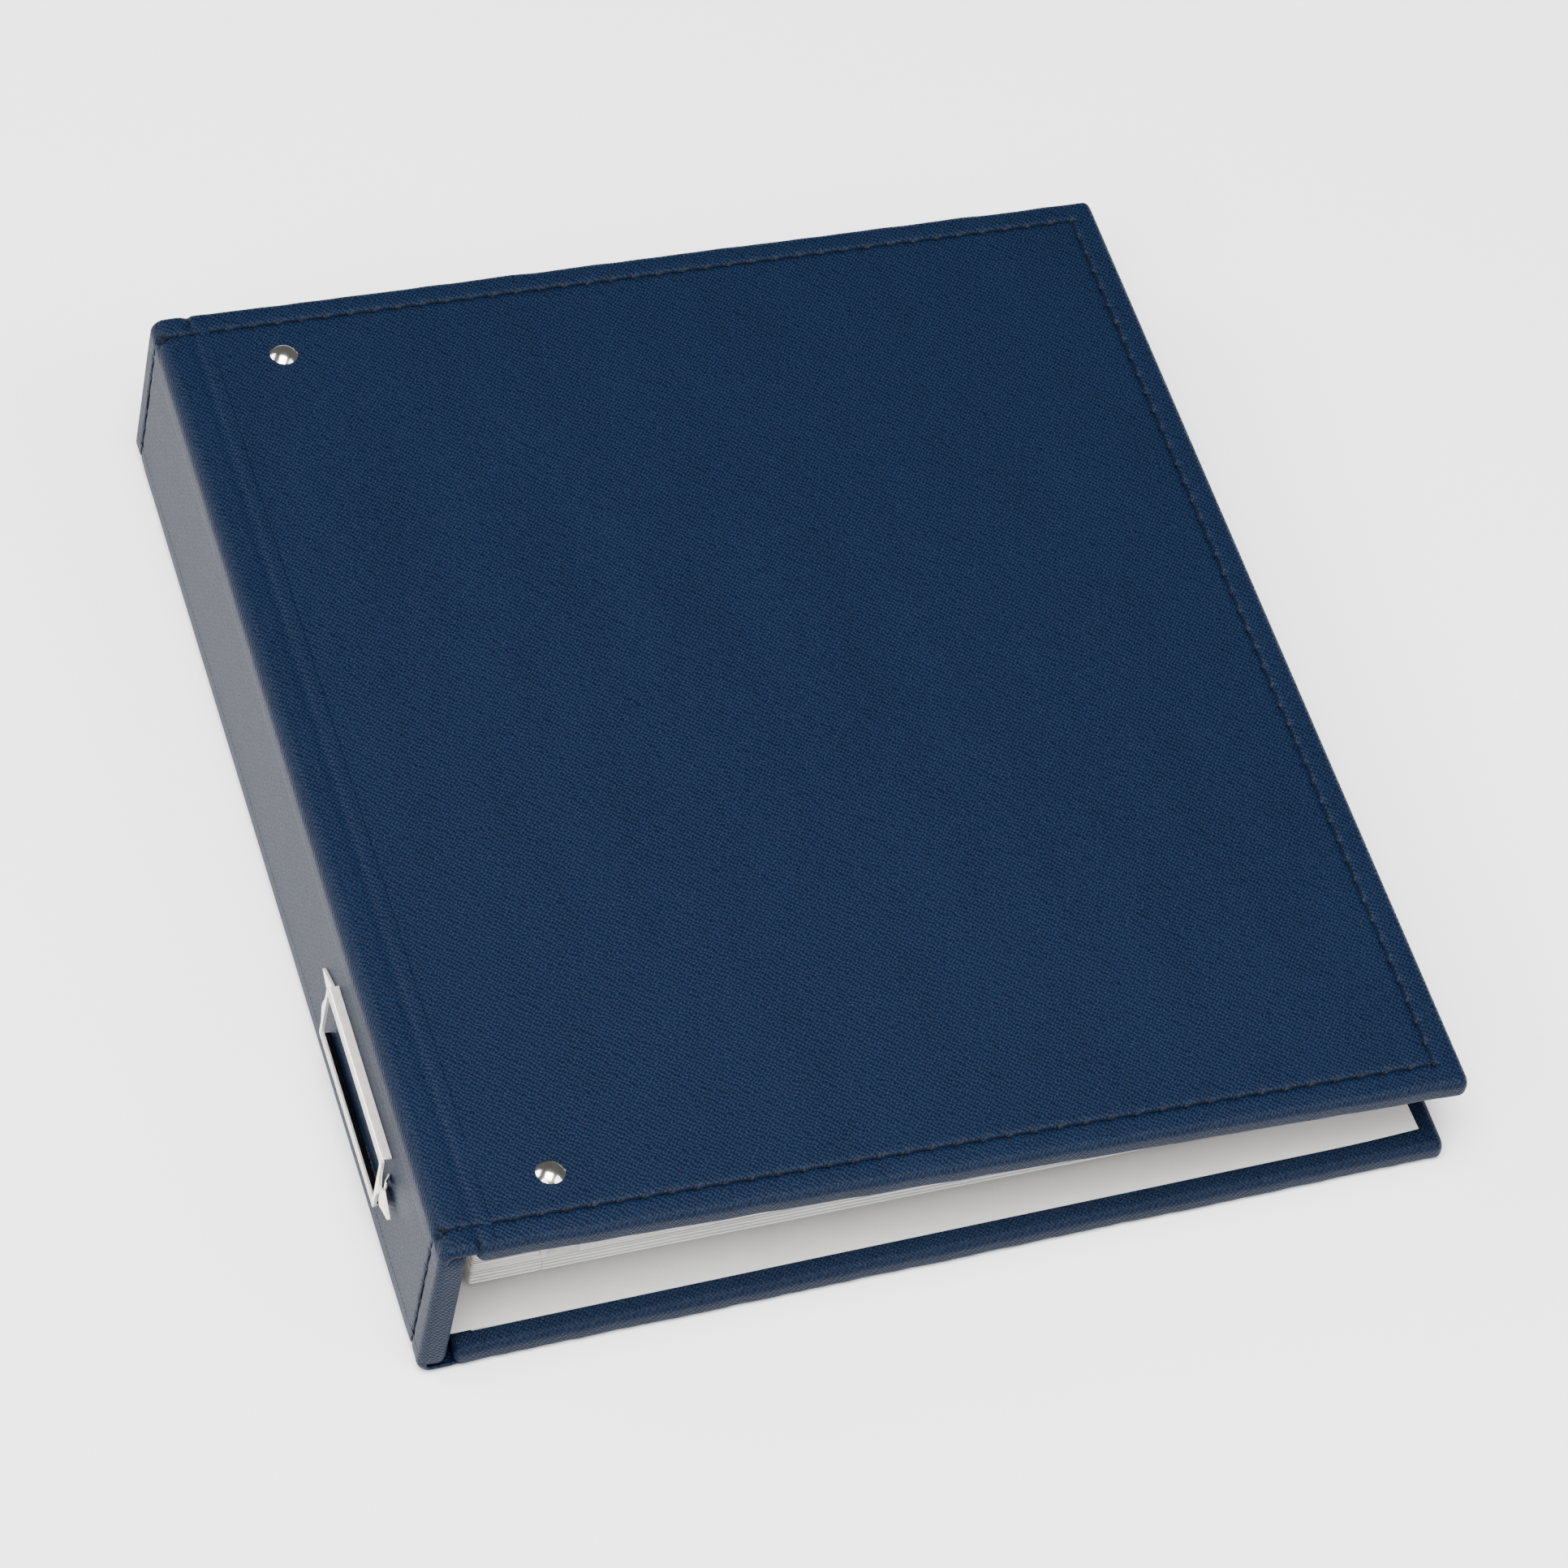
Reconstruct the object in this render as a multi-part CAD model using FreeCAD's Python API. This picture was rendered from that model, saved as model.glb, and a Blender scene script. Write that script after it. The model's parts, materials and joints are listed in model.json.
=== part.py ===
"""Ring-bound scrapbook album, closed, lying on its front cover.

Units are millimetres. X runs from the spine to the fore-edge, Y along the spine, Z up.
The origin is the middle of the footprint, on the surface that the album lies on.
Parts of the back cover and of the spine are drawn square first, then tilted into place.
"""
import FreeCAD
import Part
import math
import os

from FreeCAD import Vector

os.makedirs("parts", exist_ok=True)

# ---- overall size -------------------------------------------------------------------
ALBUM_LENGTH = 318.0          # along the spine
COVER_THICKNESS = 7.0
SPINE_THICKNESS = 7.8
SPINE_EDGE_RADIUS = 3.85      # rounding of the spine's long edges
SPINE_SIDE_HEIGHT = 51.2      # top of the closed album at the spine
FORE_EDGE_HEIGHT = 33.0       # top of the closed album at the fore-edge
SPINE_FOOT_SETBACK = 5.4      # how far the spine's foot stands out beyond its top
SPINE_FOOT_LIFT = 0.35        # keeps the leaning spine's rounded foot above the table
BACK_COVER_REACH = 270.8      # hinge line to fore-edge
FRONT_COVER_REACH = 272.4
HINGE_GAP = 8.6               # hinge line to the start of each cover panel

TINY = 0.01                   # comparing places
CUT_MARGIN = 1.0              # how far a cutting tool reaches past what it cuts

# ---- layers of a panel --------------------------------------------------------------
SKIN = 1.0
PADDING = 2.0
LINING = 0.4
TURN_IN = 15.0                # leatherette folded over onto the inner face
LINING_INSET = 5.7            # leatherette margin left showing round the lining
SPINE_LINING_MARGIN = 1.0     # between the spine's lining and its rounded edges
LAYER_BITE = 0.1              # so that a window is cut clean through to the board
CORNER_RADIUS = 3.5
EDGE_RADIUS = 2.6

# ---- stitching ----------------------------------------------------------------------
STITCH_INSET = 7.6
STITCH_PITCH = 6.8
STITCH_LENGTH = 5.0
STITCH_WIDTH = 0.8
STITCH_DEPTH = 0.4

# ---- ring mechanism (across = from the spine's top outer edge) ----------------------
RING_BASE_ACROSS = 32.9
RIVET_FROM_END = 19.4
RIVET_HEAD_RADIUS = 3.8
RIVET_HEAD_HEIGHT = 1.55
RIVET_POST_RADIUS = 2.0
CLINCH_FLARE = 1.2
CLINCH_THICKNESS = 1.0
CLINCH_BITE = 0.5             # post end inside its clinched foot
FIT_GAP = 0.05
HOUSING_WIDTH = 28.0
HOUSING_RISE = 6.0
HOUSING_SHEET = 1.1
HOUSING_LENGTH = 302.0
RING_SLOT_SIDE_GAP = 0.9
RING_SLOT_HALF_LENGTH = 2.2
HOUSING_SLOT_DEPTH = 2.6      # slots stop this far below the cover's inner face
RAIL_WIDTH = 8.3
RAIL_THICKNESS = 1.2
RAIL_LENGTH = 292.0
RAIL_DROP = 1.6               # cover's inner face to the middle of the rails
RAIL_SPLIT = 0.4
RAIL_NOTCH_GAP = 1.0          # round each rivet post
WIRE_RADIUS = 1.3
RING_SPACING = 108.0
LEG_ACROSS = 26.0
LEG_ROOT_OFFSET = 1.7         # wire roots stand this far either side of the base line
ARCH_ACROSS = 11.0            # outermost part of the curved half
JOIN_CUT_SIZE = 44.0          # block that trims the ring halves, larger than a ring
LEG_BENDS = (3.0, 3.5)        # bend radii from the rail to the tip
ARCH_BENDS = (2.6, 8.0, 4.5, 1.6)
RING_BOTTOM_HEIGHT = 10.3     # under the legs
RING_BOTTOM_DROP = 0.7        # the arch dips this much lower at the spine side
RING_JOIN_HEIGHT = 12.0
RING_JOIN_SLANT_DEG = 22.0    # the mating faces slope so that they slide apart
LEG_BEND_HEIGHT = 31.6        # where the cranked leg turns down
LEG_BEND_RISE = 3.3
ARCH_TOP_HEIGHT = 35.6
ARCH_TOP_RISE = 1.2
RING_OPENING_DEG = 5.5
LEVER_FROM_MIDDLE = 149.5
LEVER_PIN_RADIUS = 1.0
LEVER_PIN_OVERHANG = 3.2      # beyond each side of a lever
LEVER_PIN_DROP = 1.0          # pin below the middle of the rails
LEVER_WIDTH = 10.0
LEVER_SIDE_GAP = 0.6
LEVER_HUB_RADIUS = 1.8
LEVER_LIP_REACH = 4.0
LEVER_LIP = (-1.75, -0.75)    # bottom and top of the lip, from the pin
LEVER_DROP = 6.0
LEVER_TAB_OUTLINE = [(0, -1.2), (1.7, 0.4), (4.6, 1.2 - LEVER_DROP), (4.2, -LEVER_DROP),
                     (3.2, -LEVER_DROP), (0.4, -1.78)]     # outward and up from the pivot
LEVER_NOTCH = 5.5             # housing cut away from here, inside the pin
LEVER_OPENING_DEG = 25.0

# ---- pages --------------------------------------------------------------------------
PAGE_WIDTH = 235.0
PAGE_LENGTH = 286.0
PAGE_TILT_DEG = 0.9           # the block sags towards the fore-edge
PAGE_BLOCK_HEIGHT = 11.5      # underside of the block at the binding edge
HOLE_TO_EDGE = 11.6
HOLE_RADIUS = 4.0
LEAF_COUNT = 3
LEAF_THICKNESS = 0.6
LEAF_PITCH = 1.4
LEAF_STRIP_WIDTH = 21.4
LEAF_HINGE_OFFSET = 0.6
PACK_COUNT = 5
PACK_THICKNESS = 2.4
PACK_GAP = 0.2

# ---- label holder on the spine (height measured up the spine panel) -----------------
LABEL_MIDDLE_Y = -90.0
LABEL_MIDDLE_HEIGHT = 26.0
LABEL_WIDTH = 20.0
LABEL_LENGTH = 51.5
LABEL_STAND = 3.0
LABEL_SHEET = 0.8
LABEL_RAIL = 3.6
LABEL_LUG_LENGTH = 11.5
LABEL_LUG_WIDTH = 9.0
LABEL_PRONG = 2.4
LABEL_PRONG_HALF_WIDTH = 2.0
LABEL_PRONG_HALF_THICKNESS = 0.4
LABEL_LUG_ROOT = 0.8          # share of the lug's width at the frame
LABEL_LUG_SHOULDER = 0.35     # share of the lug's length at its widest place

# ---- derived places -----------------------------------------------------------------
HALF = ALBUM_LENGTH / 2
HINGE_INSET = SPINE_EDGE_RADIUS * (1 - math.sqrt(0.5))
FRONT_AXIS = Vector(HINGE_INSET - SPINE_FOOT_SETBACK, 0, HINGE_INSET + SPINE_FOOT_LIFT)
BACK_AXIS = Vector(HINGE_INSET, 0, SPINE_SIDE_HEIGHT - HINGE_INSET)
LEAN = math.degrees(math.atan2(BACK_AXIS.x - FRONT_AXIS.x, BACK_AXIS.z - FRONT_AXIS.z))
SLOPE = math.degrees(math.atan2(SPINE_SIDE_HEIGHT - FORE_EDGE_HEIGHT, BACK_COVER_REACH))
SPINE_HEIGHT = (BACK_AXIS - FRONT_AXIS).Length + 2 * HINGE_INSET
COVER_WIDTH = {"back": BACK_COVER_REACH - HINGE_GAP, "front": FRONT_COVER_REACH - HINGE_GAP}
INNER_FACE = SPINE_SIDE_HEIGHT - COVER_THICKNESS
RIVET_Y = HALF - RIVET_FROM_END
RING_PLACES = [-RING_SPACING, 0.0, RING_SPACING]
RAIL_HEIGHT = INNER_FACE - RAIL_DROP
Y_AXIS = Vector(0, 1, 0)


def box(x, y, z):
    """A box from three (low, high) pairs."""
    size = [high - low for low, high in (x, y, z)]
    return Part.makeBox(size[0], size[1], size[2], Vector(x[0], y[0], z[0]))


def tilt_back(shape):
    """Lay a shape drawn square with the back cover onto its resting slope."""
    shape.rotate(BACK_AXIS, Y_AXIS, SLOPE)
    return shape


def tilt_spine(shape):
    """Lean a shape drawn square with the spine panel."""
    shape.rotate(FRONT_AXIS, Y_AXIS, LEAN)
    return shape


def tilted_point(x, z):
    """Where a point drawn square with the back cover lies at rest."""
    turn = math.radians(SLOPE)
    dx = x - BACK_AXIS.x
    dz = z - BACK_AXIS.z
    return (BACK_AXIS.x + dx * math.cos(turn) + dz * math.sin(turn),
            BACK_AXIS.z - dx * math.sin(turn) + dz * math.cos(turn))


def soft_plate(x, y, z):
    """A wrapped panel: corners rounded in plan, then both faces' rims rounded."""
    plate = box(x, y, z)
    upright = [e for e in plate.Edges if abs(e.Vertexes[0].Z - e.Vertexes[1].Z) > TINY]
    plate = plate.makeFillet(CORNER_RADIUS, upright)
    rims = [e for e in plate.Edges
            if e.BoundBox.ZLength < TINY and (abs(e.BoundBox.ZMin - z[0]) < TINY
                                              or abs(e.BoundBox.ZMax - z[1]) < TINY)]
    return plate.makeFillet(EDGE_RADIUS, rims)


def wire_along(points, radii):
    """A round wire through corner points in the XZ plane, each corner an arc."""
    corners = [Vector(x, 0, z) for x, z in points]
    edges = []
    start = corners[0]
    for before, corner, after, radius in zip(corners, corners[1:], corners[2:], radii):
        inward = (before - corner).normalize()
        outward = (after - corner).normalize()
        half_turn = math.acos(max(-1.0, min(1.0, inward.dot(outward)))) / 2
        reach = radius / math.tan(half_turn)
        first = corner + inward * reach
        last = corner + outward * reach
        bisector = (inward + outward).normalize()
        middle = corner + bisector * (radius / math.sin(half_turn) - radius)
        if (first - start).Length > TINY:
            edges.append(Part.LineSegment(start, first).toShape())
        edges.append(Part.Arc(first, middle, last).toShape())
        start = last
    if (corners[-1] - start).Length > TINY:
        edges.append(Part.LineSegment(start, corners[-1]).toShape())
    path = Part.Wire(edges)
    direction = (corners[1] - corners[0]).normalize()
    section = Part.Wire([Part.makeCircle(WIRE_RADIUS, corners[0], direction)])
    return path.makePipeShell([section], True, True)


def stitch_rows(width_range, outer_face, inward, with_side):
    """Stitches and their channel along the head, tail and (optionally) fore-edge."""
    low, high = width_range
    floor = outer_face + inward * STITCH_DEPTH
    z = (min(outer_face, floor), max(outer_face, floor))
    half = STITCH_WIDTH / 2
    stitches = []
    channels = []
    end = high - STITCH_INSET if with_side else high
    for y in (-HALF + STITCH_INSET, HALF - STITCH_INSET):
        count = int((end - low) // STITCH_PITCH)
        pitch = (end - low) / count
        channels.append(box((low, end), (y - half, y + half), z))
        for i in range(count):
            x = low + pitch * (i + 0.5)
            stitches.append(box((x - STITCH_LENGTH / 2, x + STITCH_LENGTH / 2),
                                (y - half, y + half), z))
    if with_side:
        span = ALBUM_LENGTH - 2 * STITCH_INSET
        count = int(span // STITCH_PITCH)
        pitch = span / count
        channels.append(box((end - half, end + half), (-span / 2, span / 2), z))
        for i in range(count):
            y = -span / 2 + pitch * (i + 0.5)
            stitches.append(box((end - half, end + half),
                                (y - STITCH_LENGTH / 2, y + STITCH_LENGTH / 2), z))
    return stitches, channels


def cover_layers(name, x, outer, inward):
    """Skin, padding, board, lining and stitching of a cover, stacked from its outer face."""
    def level(depth_low, depth_high):
        a = outer + inward * depth_low
        b = outer + inward * depth_high
        return (min(a, b), max(a, b))

    board_depth = COVER_THICKNESS - LINING - SKIN
    y = (-HALF, HALF)
    inner_x = (x[0] + SKIN, x[1] - SKIN)
    inner_y = (y[0] + SKIN, y[1] - SKIN)
    window_x = (x[0] + TURN_IN, x[1] - TURN_IN)
    window_y = (y[0] + TURN_IN, y[1] - TURN_IN)
    lining_x = (x[0] + LINING_INSET, x[1] - LINING_INSET)
    lining_y = (y[0] + LINING_INSET, y[1] - LINING_INSET)
    stitches, channels = stitch_rows(x, outer, inward, True)

    skin = soft_plate(x, y, level(0, COVER_THICKNESS - LINING))
    skin = skin.cut(box(inner_x, inner_y, level(SKIN, board_depth)))
    skin = skin.cut(box(window_x, window_y, level(board_depth - LAYER_BITE, COVER_THICKNESS)))
    skin = skin.cut(Part.makeCompound(channels))
    lining = box(lining_x, lining_y, level(COVER_THICKNESS - LINING, COVER_THICKNESS))
    lining = lining.fuse(box(window_x, window_y, level(board_depth, COVER_THICKNESS - LINING)))
    return {
        name + "_cover_skin": skin,
        name + "_cover_padding": box(inner_x, inner_y, level(SKIN, SKIN + PADDING)),
        name + "_cover_board": box(inner_x, inner_y, level(SKIN + PADDING, board_depth)),
        name + "_cover_lining": lining.removeSplitter(),
        name + "_cover_stitching": Part.makeCompound(stitches),
    }


def rivet_drills():
    """The two holes that the ring rivets pass through, square with the back cover."""
    low = INNER_FACE - HOUSING_RISE - CUT_MARGIN
    depth = SPINE_SIDE_HEIGHT + CUT_MARGIN - low
    tools = [Part.makeCylinder(RIVET_POST_RADIUS + FIT_GAP, depth,
                               Vector(RING_BASE_ACROSS, side * RIVET_Y, low))
             for side in (-1, 1)]
    return Part.makeCompound(tools)


def back_cover():
    layers = cover_layers("back", (BACK_AXIS.x + HINGE_GAP, BACK_AXIS.x + BACK_COVER_REACH),
                          SPINE_SIDE_HEIGHT, -1)
    drills = rivet_drills()
    for layer in ("skin", "padding", "board", "lining"):
        node = "back_cover_" + layer
        layers[node] = layers[node].cut(drills)
    return {node: tilt_back(shape) for node, shape in layers.items()}


def front_cover():
    return cover_layers("front", (FRONT_AXIS.x + HINGE_GAP, FRONT_AXIS.x + FRONT_COVER_REACH),
                        0.0, 1)


def spine_panel():
    """The spine's layers, drawn upright from its foot, then leaned."""
    foot = Vector(FRONT_AXIS.x - HINGE_INSET, 0, FRONT_AXIS.z - HINGE_INSET)
    top = foot.z + SPINE_HEIGHT
    outer = foot.x
    inner = outer + SPINE_THICKNESS
    plate = box((outer, inner), (-HALF, HALF), (foot.z, top))
    long_edges = [e for e in plate.Edges if e.BoundBox.YLength > ALBUM_LENGTH - TINY]
    plate = plate.makeFillet(SPINE_EDGE_RADIUS, long_edges)
    z = (foot.z + SPINE_EDGE_RADIUS, top - SPINE_EDGE_RADIUS)
    y = (-HALF + SKIN, HALF - SKIN)
    board_x = (outer + SKIN + PADDING, inner - LINING - SKIN)
    padding_x = (outer + SKIN, outer + SKIN + PADDING)
    window_y = (-HALF + TURN_IN, HALF - TURN_IN)
    lining_y = (-HALF + LINING_INSET, HALF - LINING_INSET)
    lining_z = (z[0] + SPINE_LINING_MARGIN, z[1] - SPINE_LINING_MARGIN)
    past = inner + CUT_MARGIN
    skin = plate.cut(box((padding_x[0], board_x[1]), y, z))
    skin = skin.cut(box((board_x[1] - LAYER_BITE, past), window_y, lining_z))
    skin = skin.cut(box((inner - LINING, past), lining_y, lining_z))
    lining = box((inner - LINING, inner), lining_y, lining_z)
    lining = lining.fuse(box((board_x[1], inner - LINING), window_y, lining_z))

    half = STITCH_WIDTH / 2
    stitches = []
    count = int((z[1] - z[0]) // STITCH_PITCH)
    pitch = (z[1] - z[0]) / count
    for y_row in (-HALF + STITCH_INSET, HALF - STITCH_INSET):
        row = (y_row - half, y_row + half)
        skin = skin.cut(box((outer, outer + STITCH_DEPTH), row, z))
        for i in range(count):
            middle = z[0] + pitch * (i + 0.5)
            stitches.append(box((outer, outer + STITCH_DEPTH), row,
                                (middle - STITCH_LENGTH / 2, middle + STITCH_LENGTH / 2)))
    padding = box(padding_x, y, z)
    holder, prong_slots = label_holder(outer, foot.z)
    skin = skin.cut(prong_slots)
    padding = padding.cut(prong_slots)
    parts = {
        "spine_skin": skin,
        "spine_padding": padding,
        "spine_board": box(board_x, y, z),
        "spine_lining": lining.removeSplitter(),
        "spine_stitching": Part.makeCompound(stitches),
        "label_holder": holder,
    }
    return {node: tilt_spine(shape) for node, shape in parts.items()}


def label_holder(face, foot):
    """A pressed frame with a card slot behind its window, two lugs and two prongs."""
    middle = foot + LABEL_MIDDLE_HEIGHT
    y = (LABEL_MIDDLE_Y - LABEL_LENGTH / 2, LABEL_MIDDLE_Y + LABEL_LENGTH / 2)
    z = (middle - LABEL_WIDTH / 2, middle + LABEL_WIDTH / 2)
    frame = box((face - LABEL_STAND, face), y, z)
    slot_y = (y[0] - CUT_MARGIN, y[1] - LABEL_SHEET)
    slot_z = (z[0] + LABEL_SHEET, z[1] - LABEL_SHEET)
    past = face + CUT_MARGIN
    frame = frame.cut(box((face - LABEL_STAND + LABEL_SHEET, past), slot_y, slot_z))
    window_y = (y[0] + LABEL_RAIL, y[1] - LABEL_RAIL)
    window_z = (z[0] + LABEL_RAIL, z[1] - LABEL_RAIL)
    frame = frame.cut(box((face - LABEL_STAND - CUT_MARGIN, past), window_y, window_z))
    slots = []
    prong_half = LABEL_PRONG_HALF_WIDTH
    thin_half = LABEL_PRONG_HALF_THICKNESS
    for end, side in ((y[0], -1), (y[1], 1)):
        root = end - side * LABEL_SHEET
        tip = end + side * LABEL_LUG_LENGTH
        shoulder = end + side * LABEL_LUG_LENGTH * LABEL_LUG_SHOULDER
        half = LABEL_LUG_WIDTH / 2
        root_half = half * LABEL_LUG_ROOT
        outline = [(root, -root_half), (shoulder, -half), (tip, 0), (shoulder, half),
                   (root, root_half)]
        corners = [Vector(face - LABEL_SHEET, py, middle + pz) for py, pz in outline]
        lug = Part.Face(Part.makePolygon(corners + corners[:1]))
        frame = frame.fuse(lug.extrude(Vector(LABEL_SHEET, 0, 0)))
        if side < 0:
            bridge_z = (z[0], z[0] + LABEL_RAIL)
            strap = box((face - LABEL_SHEET, face), (end, end + LABEL_SHEET * 2), z)
            frame = frame.fuse(strap)
            frame = frame.cut(box((face - LABEL_SHEET - CUT_MARGIN, face - LABEL_SHEET),
                                  (end, end + LABEL_SHEET), (bridge_z[1], z[1] - LABEL_RAIL)))
        prong = box((face, face + LABEL_PRONG), (shoulder - thin_half, shoulder + thin_half),
                    (middle - prong_half, middle + prong_half))
        slot_thin = thin_half + FIT_GAP
        slot_wide = prong_half + FIT_GAP
        slots.append(box((face - LAYER_BITE, face + LABEL_PRONG + FIT_GAP),
                         (shoulder - slot_thin, shoulder + slot_thin),
                         (middle - slot_wide, middle + slot_wide)))
        frame = frame.fuse(prong)
    return frame.removeSplitter(), Part.makeCompound(slots)


def ring_rivets():
    """Domed rivets whose posts run through the back cover to the housing's crown."""
    rivets = []
    crown = INNER_FACE - HOUSING_RISE
    ball = (RIVET_HEAD_RADIUS ** 2 + RIVET_HEAD_HEIGHT ** 2) / (2 * RIVET_HEAD_HEIGHT)
    for side in (-1, 1):
        foot = Vector(RING_BASE_ACROSS, side * RIVET_Y, 0)
        up = foot + Vector(0, 0, SPINE_SIDE_HEIGHT)
        dome = Part.makeSphere(ball, up + Vector(0, 0, RIVET_HEAD_HEIGHT - ball))
        dome = dome.common(Part.makeCylinder(RIVET_HEAD_RADIUS, RIVET_HEAD_HEIGHT, up))
        post = Part.makeCylinder(RIVET_POST_RADIUS, SPINE_SIDE_HEIGHT - crown + CLINCH_BITE,
                                 foot + Vector(0, 0, crown - CLINCH_BITE))
        clinch = Part.makeCylinder(RIVET_POST_RADIUS + CLINCH_FLARE, CLINCH_THICKNESS,
                                   foot + Vector(0, 0, crown - CLINCH_THICKNESS))
        rivets.append(dome.fuse(post).fuse(clinch).removeSplitter())
    return tilt_back(Part.makeCompound(rivets))


def arch_segment(drop):
    """The area under the housing's arched back, moved in by drop."""
    half = HOUSING_WIDTH / 2
    radius = (half ** 2 + HOUSING_RISE ** 2) / (2 * HOUSING_RISE)
    centre = Vector(RING_BASE_ACROSS, -HOUSING_LENGTH / 2, INNER_FACE - HOUSING_RISE + radius)
    return Part.makeCylinder(radius - drop, HOUSING_LENGTH, centre, Y_AXIS)


def ring_housing():
    half = HOUSING_WIDTH / 2 + CUT_MARGIN
    reach = (RING_BASE_ACROSS - half, RING_BASE_ACROSS + half)
    length = (-HOUSING_LENGTH / 2, HOUSING_LENGTH / 2)
    under = INNER_FACE - HOUSING_RISE - CUT_MARGIN
    below = box(reach, length, (under, INNER_FACE))
    shell = arch_segment(0).cut(arch_segment(HOUSING_SHEET)).common(below)
    slot_half = LEG_ROOT_OFFSET + WIRE_RADIUS + RING_SLOT_SIDE_GAP
    slot_z = (under, INNER_FACE - HOUSING_SLOT_DEPTH)
    for y in RING_PLACES:
        shell = shell.cut(box((RING_BASE_ACROSS - slot_half, RING_BASE_ACROSS + slot_half),
                              (y - RING_SLOT_HALF_LENGTH, y + RING_SLOT_HALF_LENGTH), slot_z))
    for side in (-1, 1):
        ends = sorted((side * (LEVER_FROM_MIDDLE - LEVER_NOTCH), side * HOUSING_LENGTH))
        notch_half = LEVER_WIDTH / 2 + LEVER_SIDE_GAP
        shell = shell.cut(box((RING_BASE_ACROSS - notch_half, RING_BASE_ACROSS + notch_half),
                              ends, slot_z))
        post = Vector(RING_BASE_ACROSS, side * RIVET_Y, under)
        shell = shell.cut(Part.makeCylinder(RIVET_POST_RADIUS + FIT_GAP, HOUSING_RISE, post))
        shell = shell.cut(lever_pin(side, LEVER_PIN_RADIUS + FIT_GAP))
    return tilt_back(shell)


def lever_pin(side, radius):
    """A pin across the housing at one end."""
    half = LEVER_WIDTH / 2 + LEVER_PIN_OVERHANG
    start = Vector(RING_BASE_ACROSS - half, side * LEVER_FROM_MIDDLE, RAIL_HEIGHT - LEVER_PIN_DROP)
    return Part.makeCylinder(radius, 2 * half, start, Vector(1, 0, 0))


def lever(side):
    """An opening lever: hub on the pin, lip under the rails, curved thumb tab."""
    half = LEVER_WIDTH / 2
    width = (RING_BASE_ACROSS - half, RING_BASE_ACROSS + half)
    z = RAIL_HEIGHT - LEVER_PIN_DROP
    middle = side * LEVER_FROM_MIDDLE
    hub = Part.makeCylinder(LEVER_HUB_RADIUS, LEVER_WIDTH, Vector(width[0], middle, z),
                            Vector(1, 0, 0))
    lip = box(width, sorted((middle, middle - side * LEVER_LIP_REACH)),
              (z + LEVER_LIP[0], z + LEVER_LIP[1]))
    outline = LEVER_TAB_OUTLINE
    corners = [Vector(width[0], middle + side * py, z + pz) for py, pz in outline]
    tab = Part.Face(Part.makePolygon(corners + corners[:1])).extrude(Vector(LEVER_WIDTH, 0, 0))
    shape = hub.fuse(lip).fuse(tab).removeSplitter()
    return tilt_back(shape.cut(lever_pin(side, LEVER_PIN_RADIUS + FIT_GAP)))


def rail(side):
    """One of the two carrier rails; side is -1 at the spine and 1 at the pages."""
    near = RING_BASE_ACROSS + side * RAIL_SPLIT / 2
    far = near + side * RAIL_WIDTH
    half = RAIL_THICKNESS / 2
    strip = box(sorted((near, far)), (-RAIL_LENGTH / 2, RAIL_LENGTH / 2),
                (RAIL_HEIGHT - half, RAIL_HEIGHT + half))
    for end in (-1, 1):
        foot = Vector(RING_BASE_ACROSS, end * RIVET_Y, RAIL_HEIGHT - RAIL_THICKNESS)
        strip = strip.cut(Part.makeCylinder(RIVET_POST_RADIUS + RAIL_NOTCH_GAP,
                                            2 * RAIL_THICKNESS, foot))
    return tilt_back(strip)


def join_cut(height, upward):
    """Everything above (or below) the slanted plane where two ring halves meet."""
    size = JOIN_CUT_SIZE
    low = height if upward else height - size
    block = box((LEG_ACROSS - size / 2, LEG_ACROSS + size / 2), (-size / 2, size / 2),
                (low, low + size))
    block.rotate(Vector(LEG_ACROSS, 0, height), Y_AXIS, RING_JOIN_SLANT_DEG)
    return block


def ring_halves(points, radii, beyond):
    """The same wire shape at each ring place, cut off where it meets its mate."""
    wire = wire_along(points, radii).cut(beyond)
    rings = []
    for y in RING_PLACES:
        ring = wire.copy()
        ring.translate(Vector(0, y, 0))
        rings.append(ring)
    return tilt_back(Part.makeCompound(rings))


def ring_legs():
    root = RING_BASE_ACROSS + LEG_ROOT_OFFSET
    top = RAIL_HEIGHT - RAIL_THICKNESS / 2
    return ring_halves([(root, top), (root, LEG_BEND_HEIGHT + LEG_BEND_RISE),
                        (LEG_ACROSS, LEG_BEND_HEIGHT),
                        (LEG_ACROSS, RING_JOIN_HEIGHT - WIRE_RADIUS)],
                       LEG_BENDS, join_cut(RING_JOIN_HEIGHT, False))


def ring_arches():
    root = RING_BASE_ACROSS - LEG_ROOT_OFFSET
    top = RAIL_HEIGHT - RAIL_THICKNESS / 2
    return ring_halves([(root, top), (root, ARCH_TOP_HEIGHT + ARCH_TOP_RISE),
                        (ARCH_ACROSS, ARCH_TOP_HEIGHT),
                        (ARCH_ACROSS, RING_BOTTOM_HEIGHT - RING_BOTTOM_DROP),
                        (LEG_ACROSS, RING_BOTTOM_HEIGHT),
                        (LEG_ACROSS, RING_JOIN_HEIGHT + WIRE_RADIUS)], ARCH_BENDS,
                       join_cut(RING_JOIN_HEIGHT - FIT_GAP, True))


def tilt_pages(shape):
    """Let a level page shape sag towards the fore-edge."""
    pivot = Vector(page_edge(PAGE_BLOCK_HEIGHT), 0, PAGE_BLOCK_HEIGHT)
    shape.rotate(pivot, Y_AXIS, PAGE_TILT_DEG)
    return shape


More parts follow.
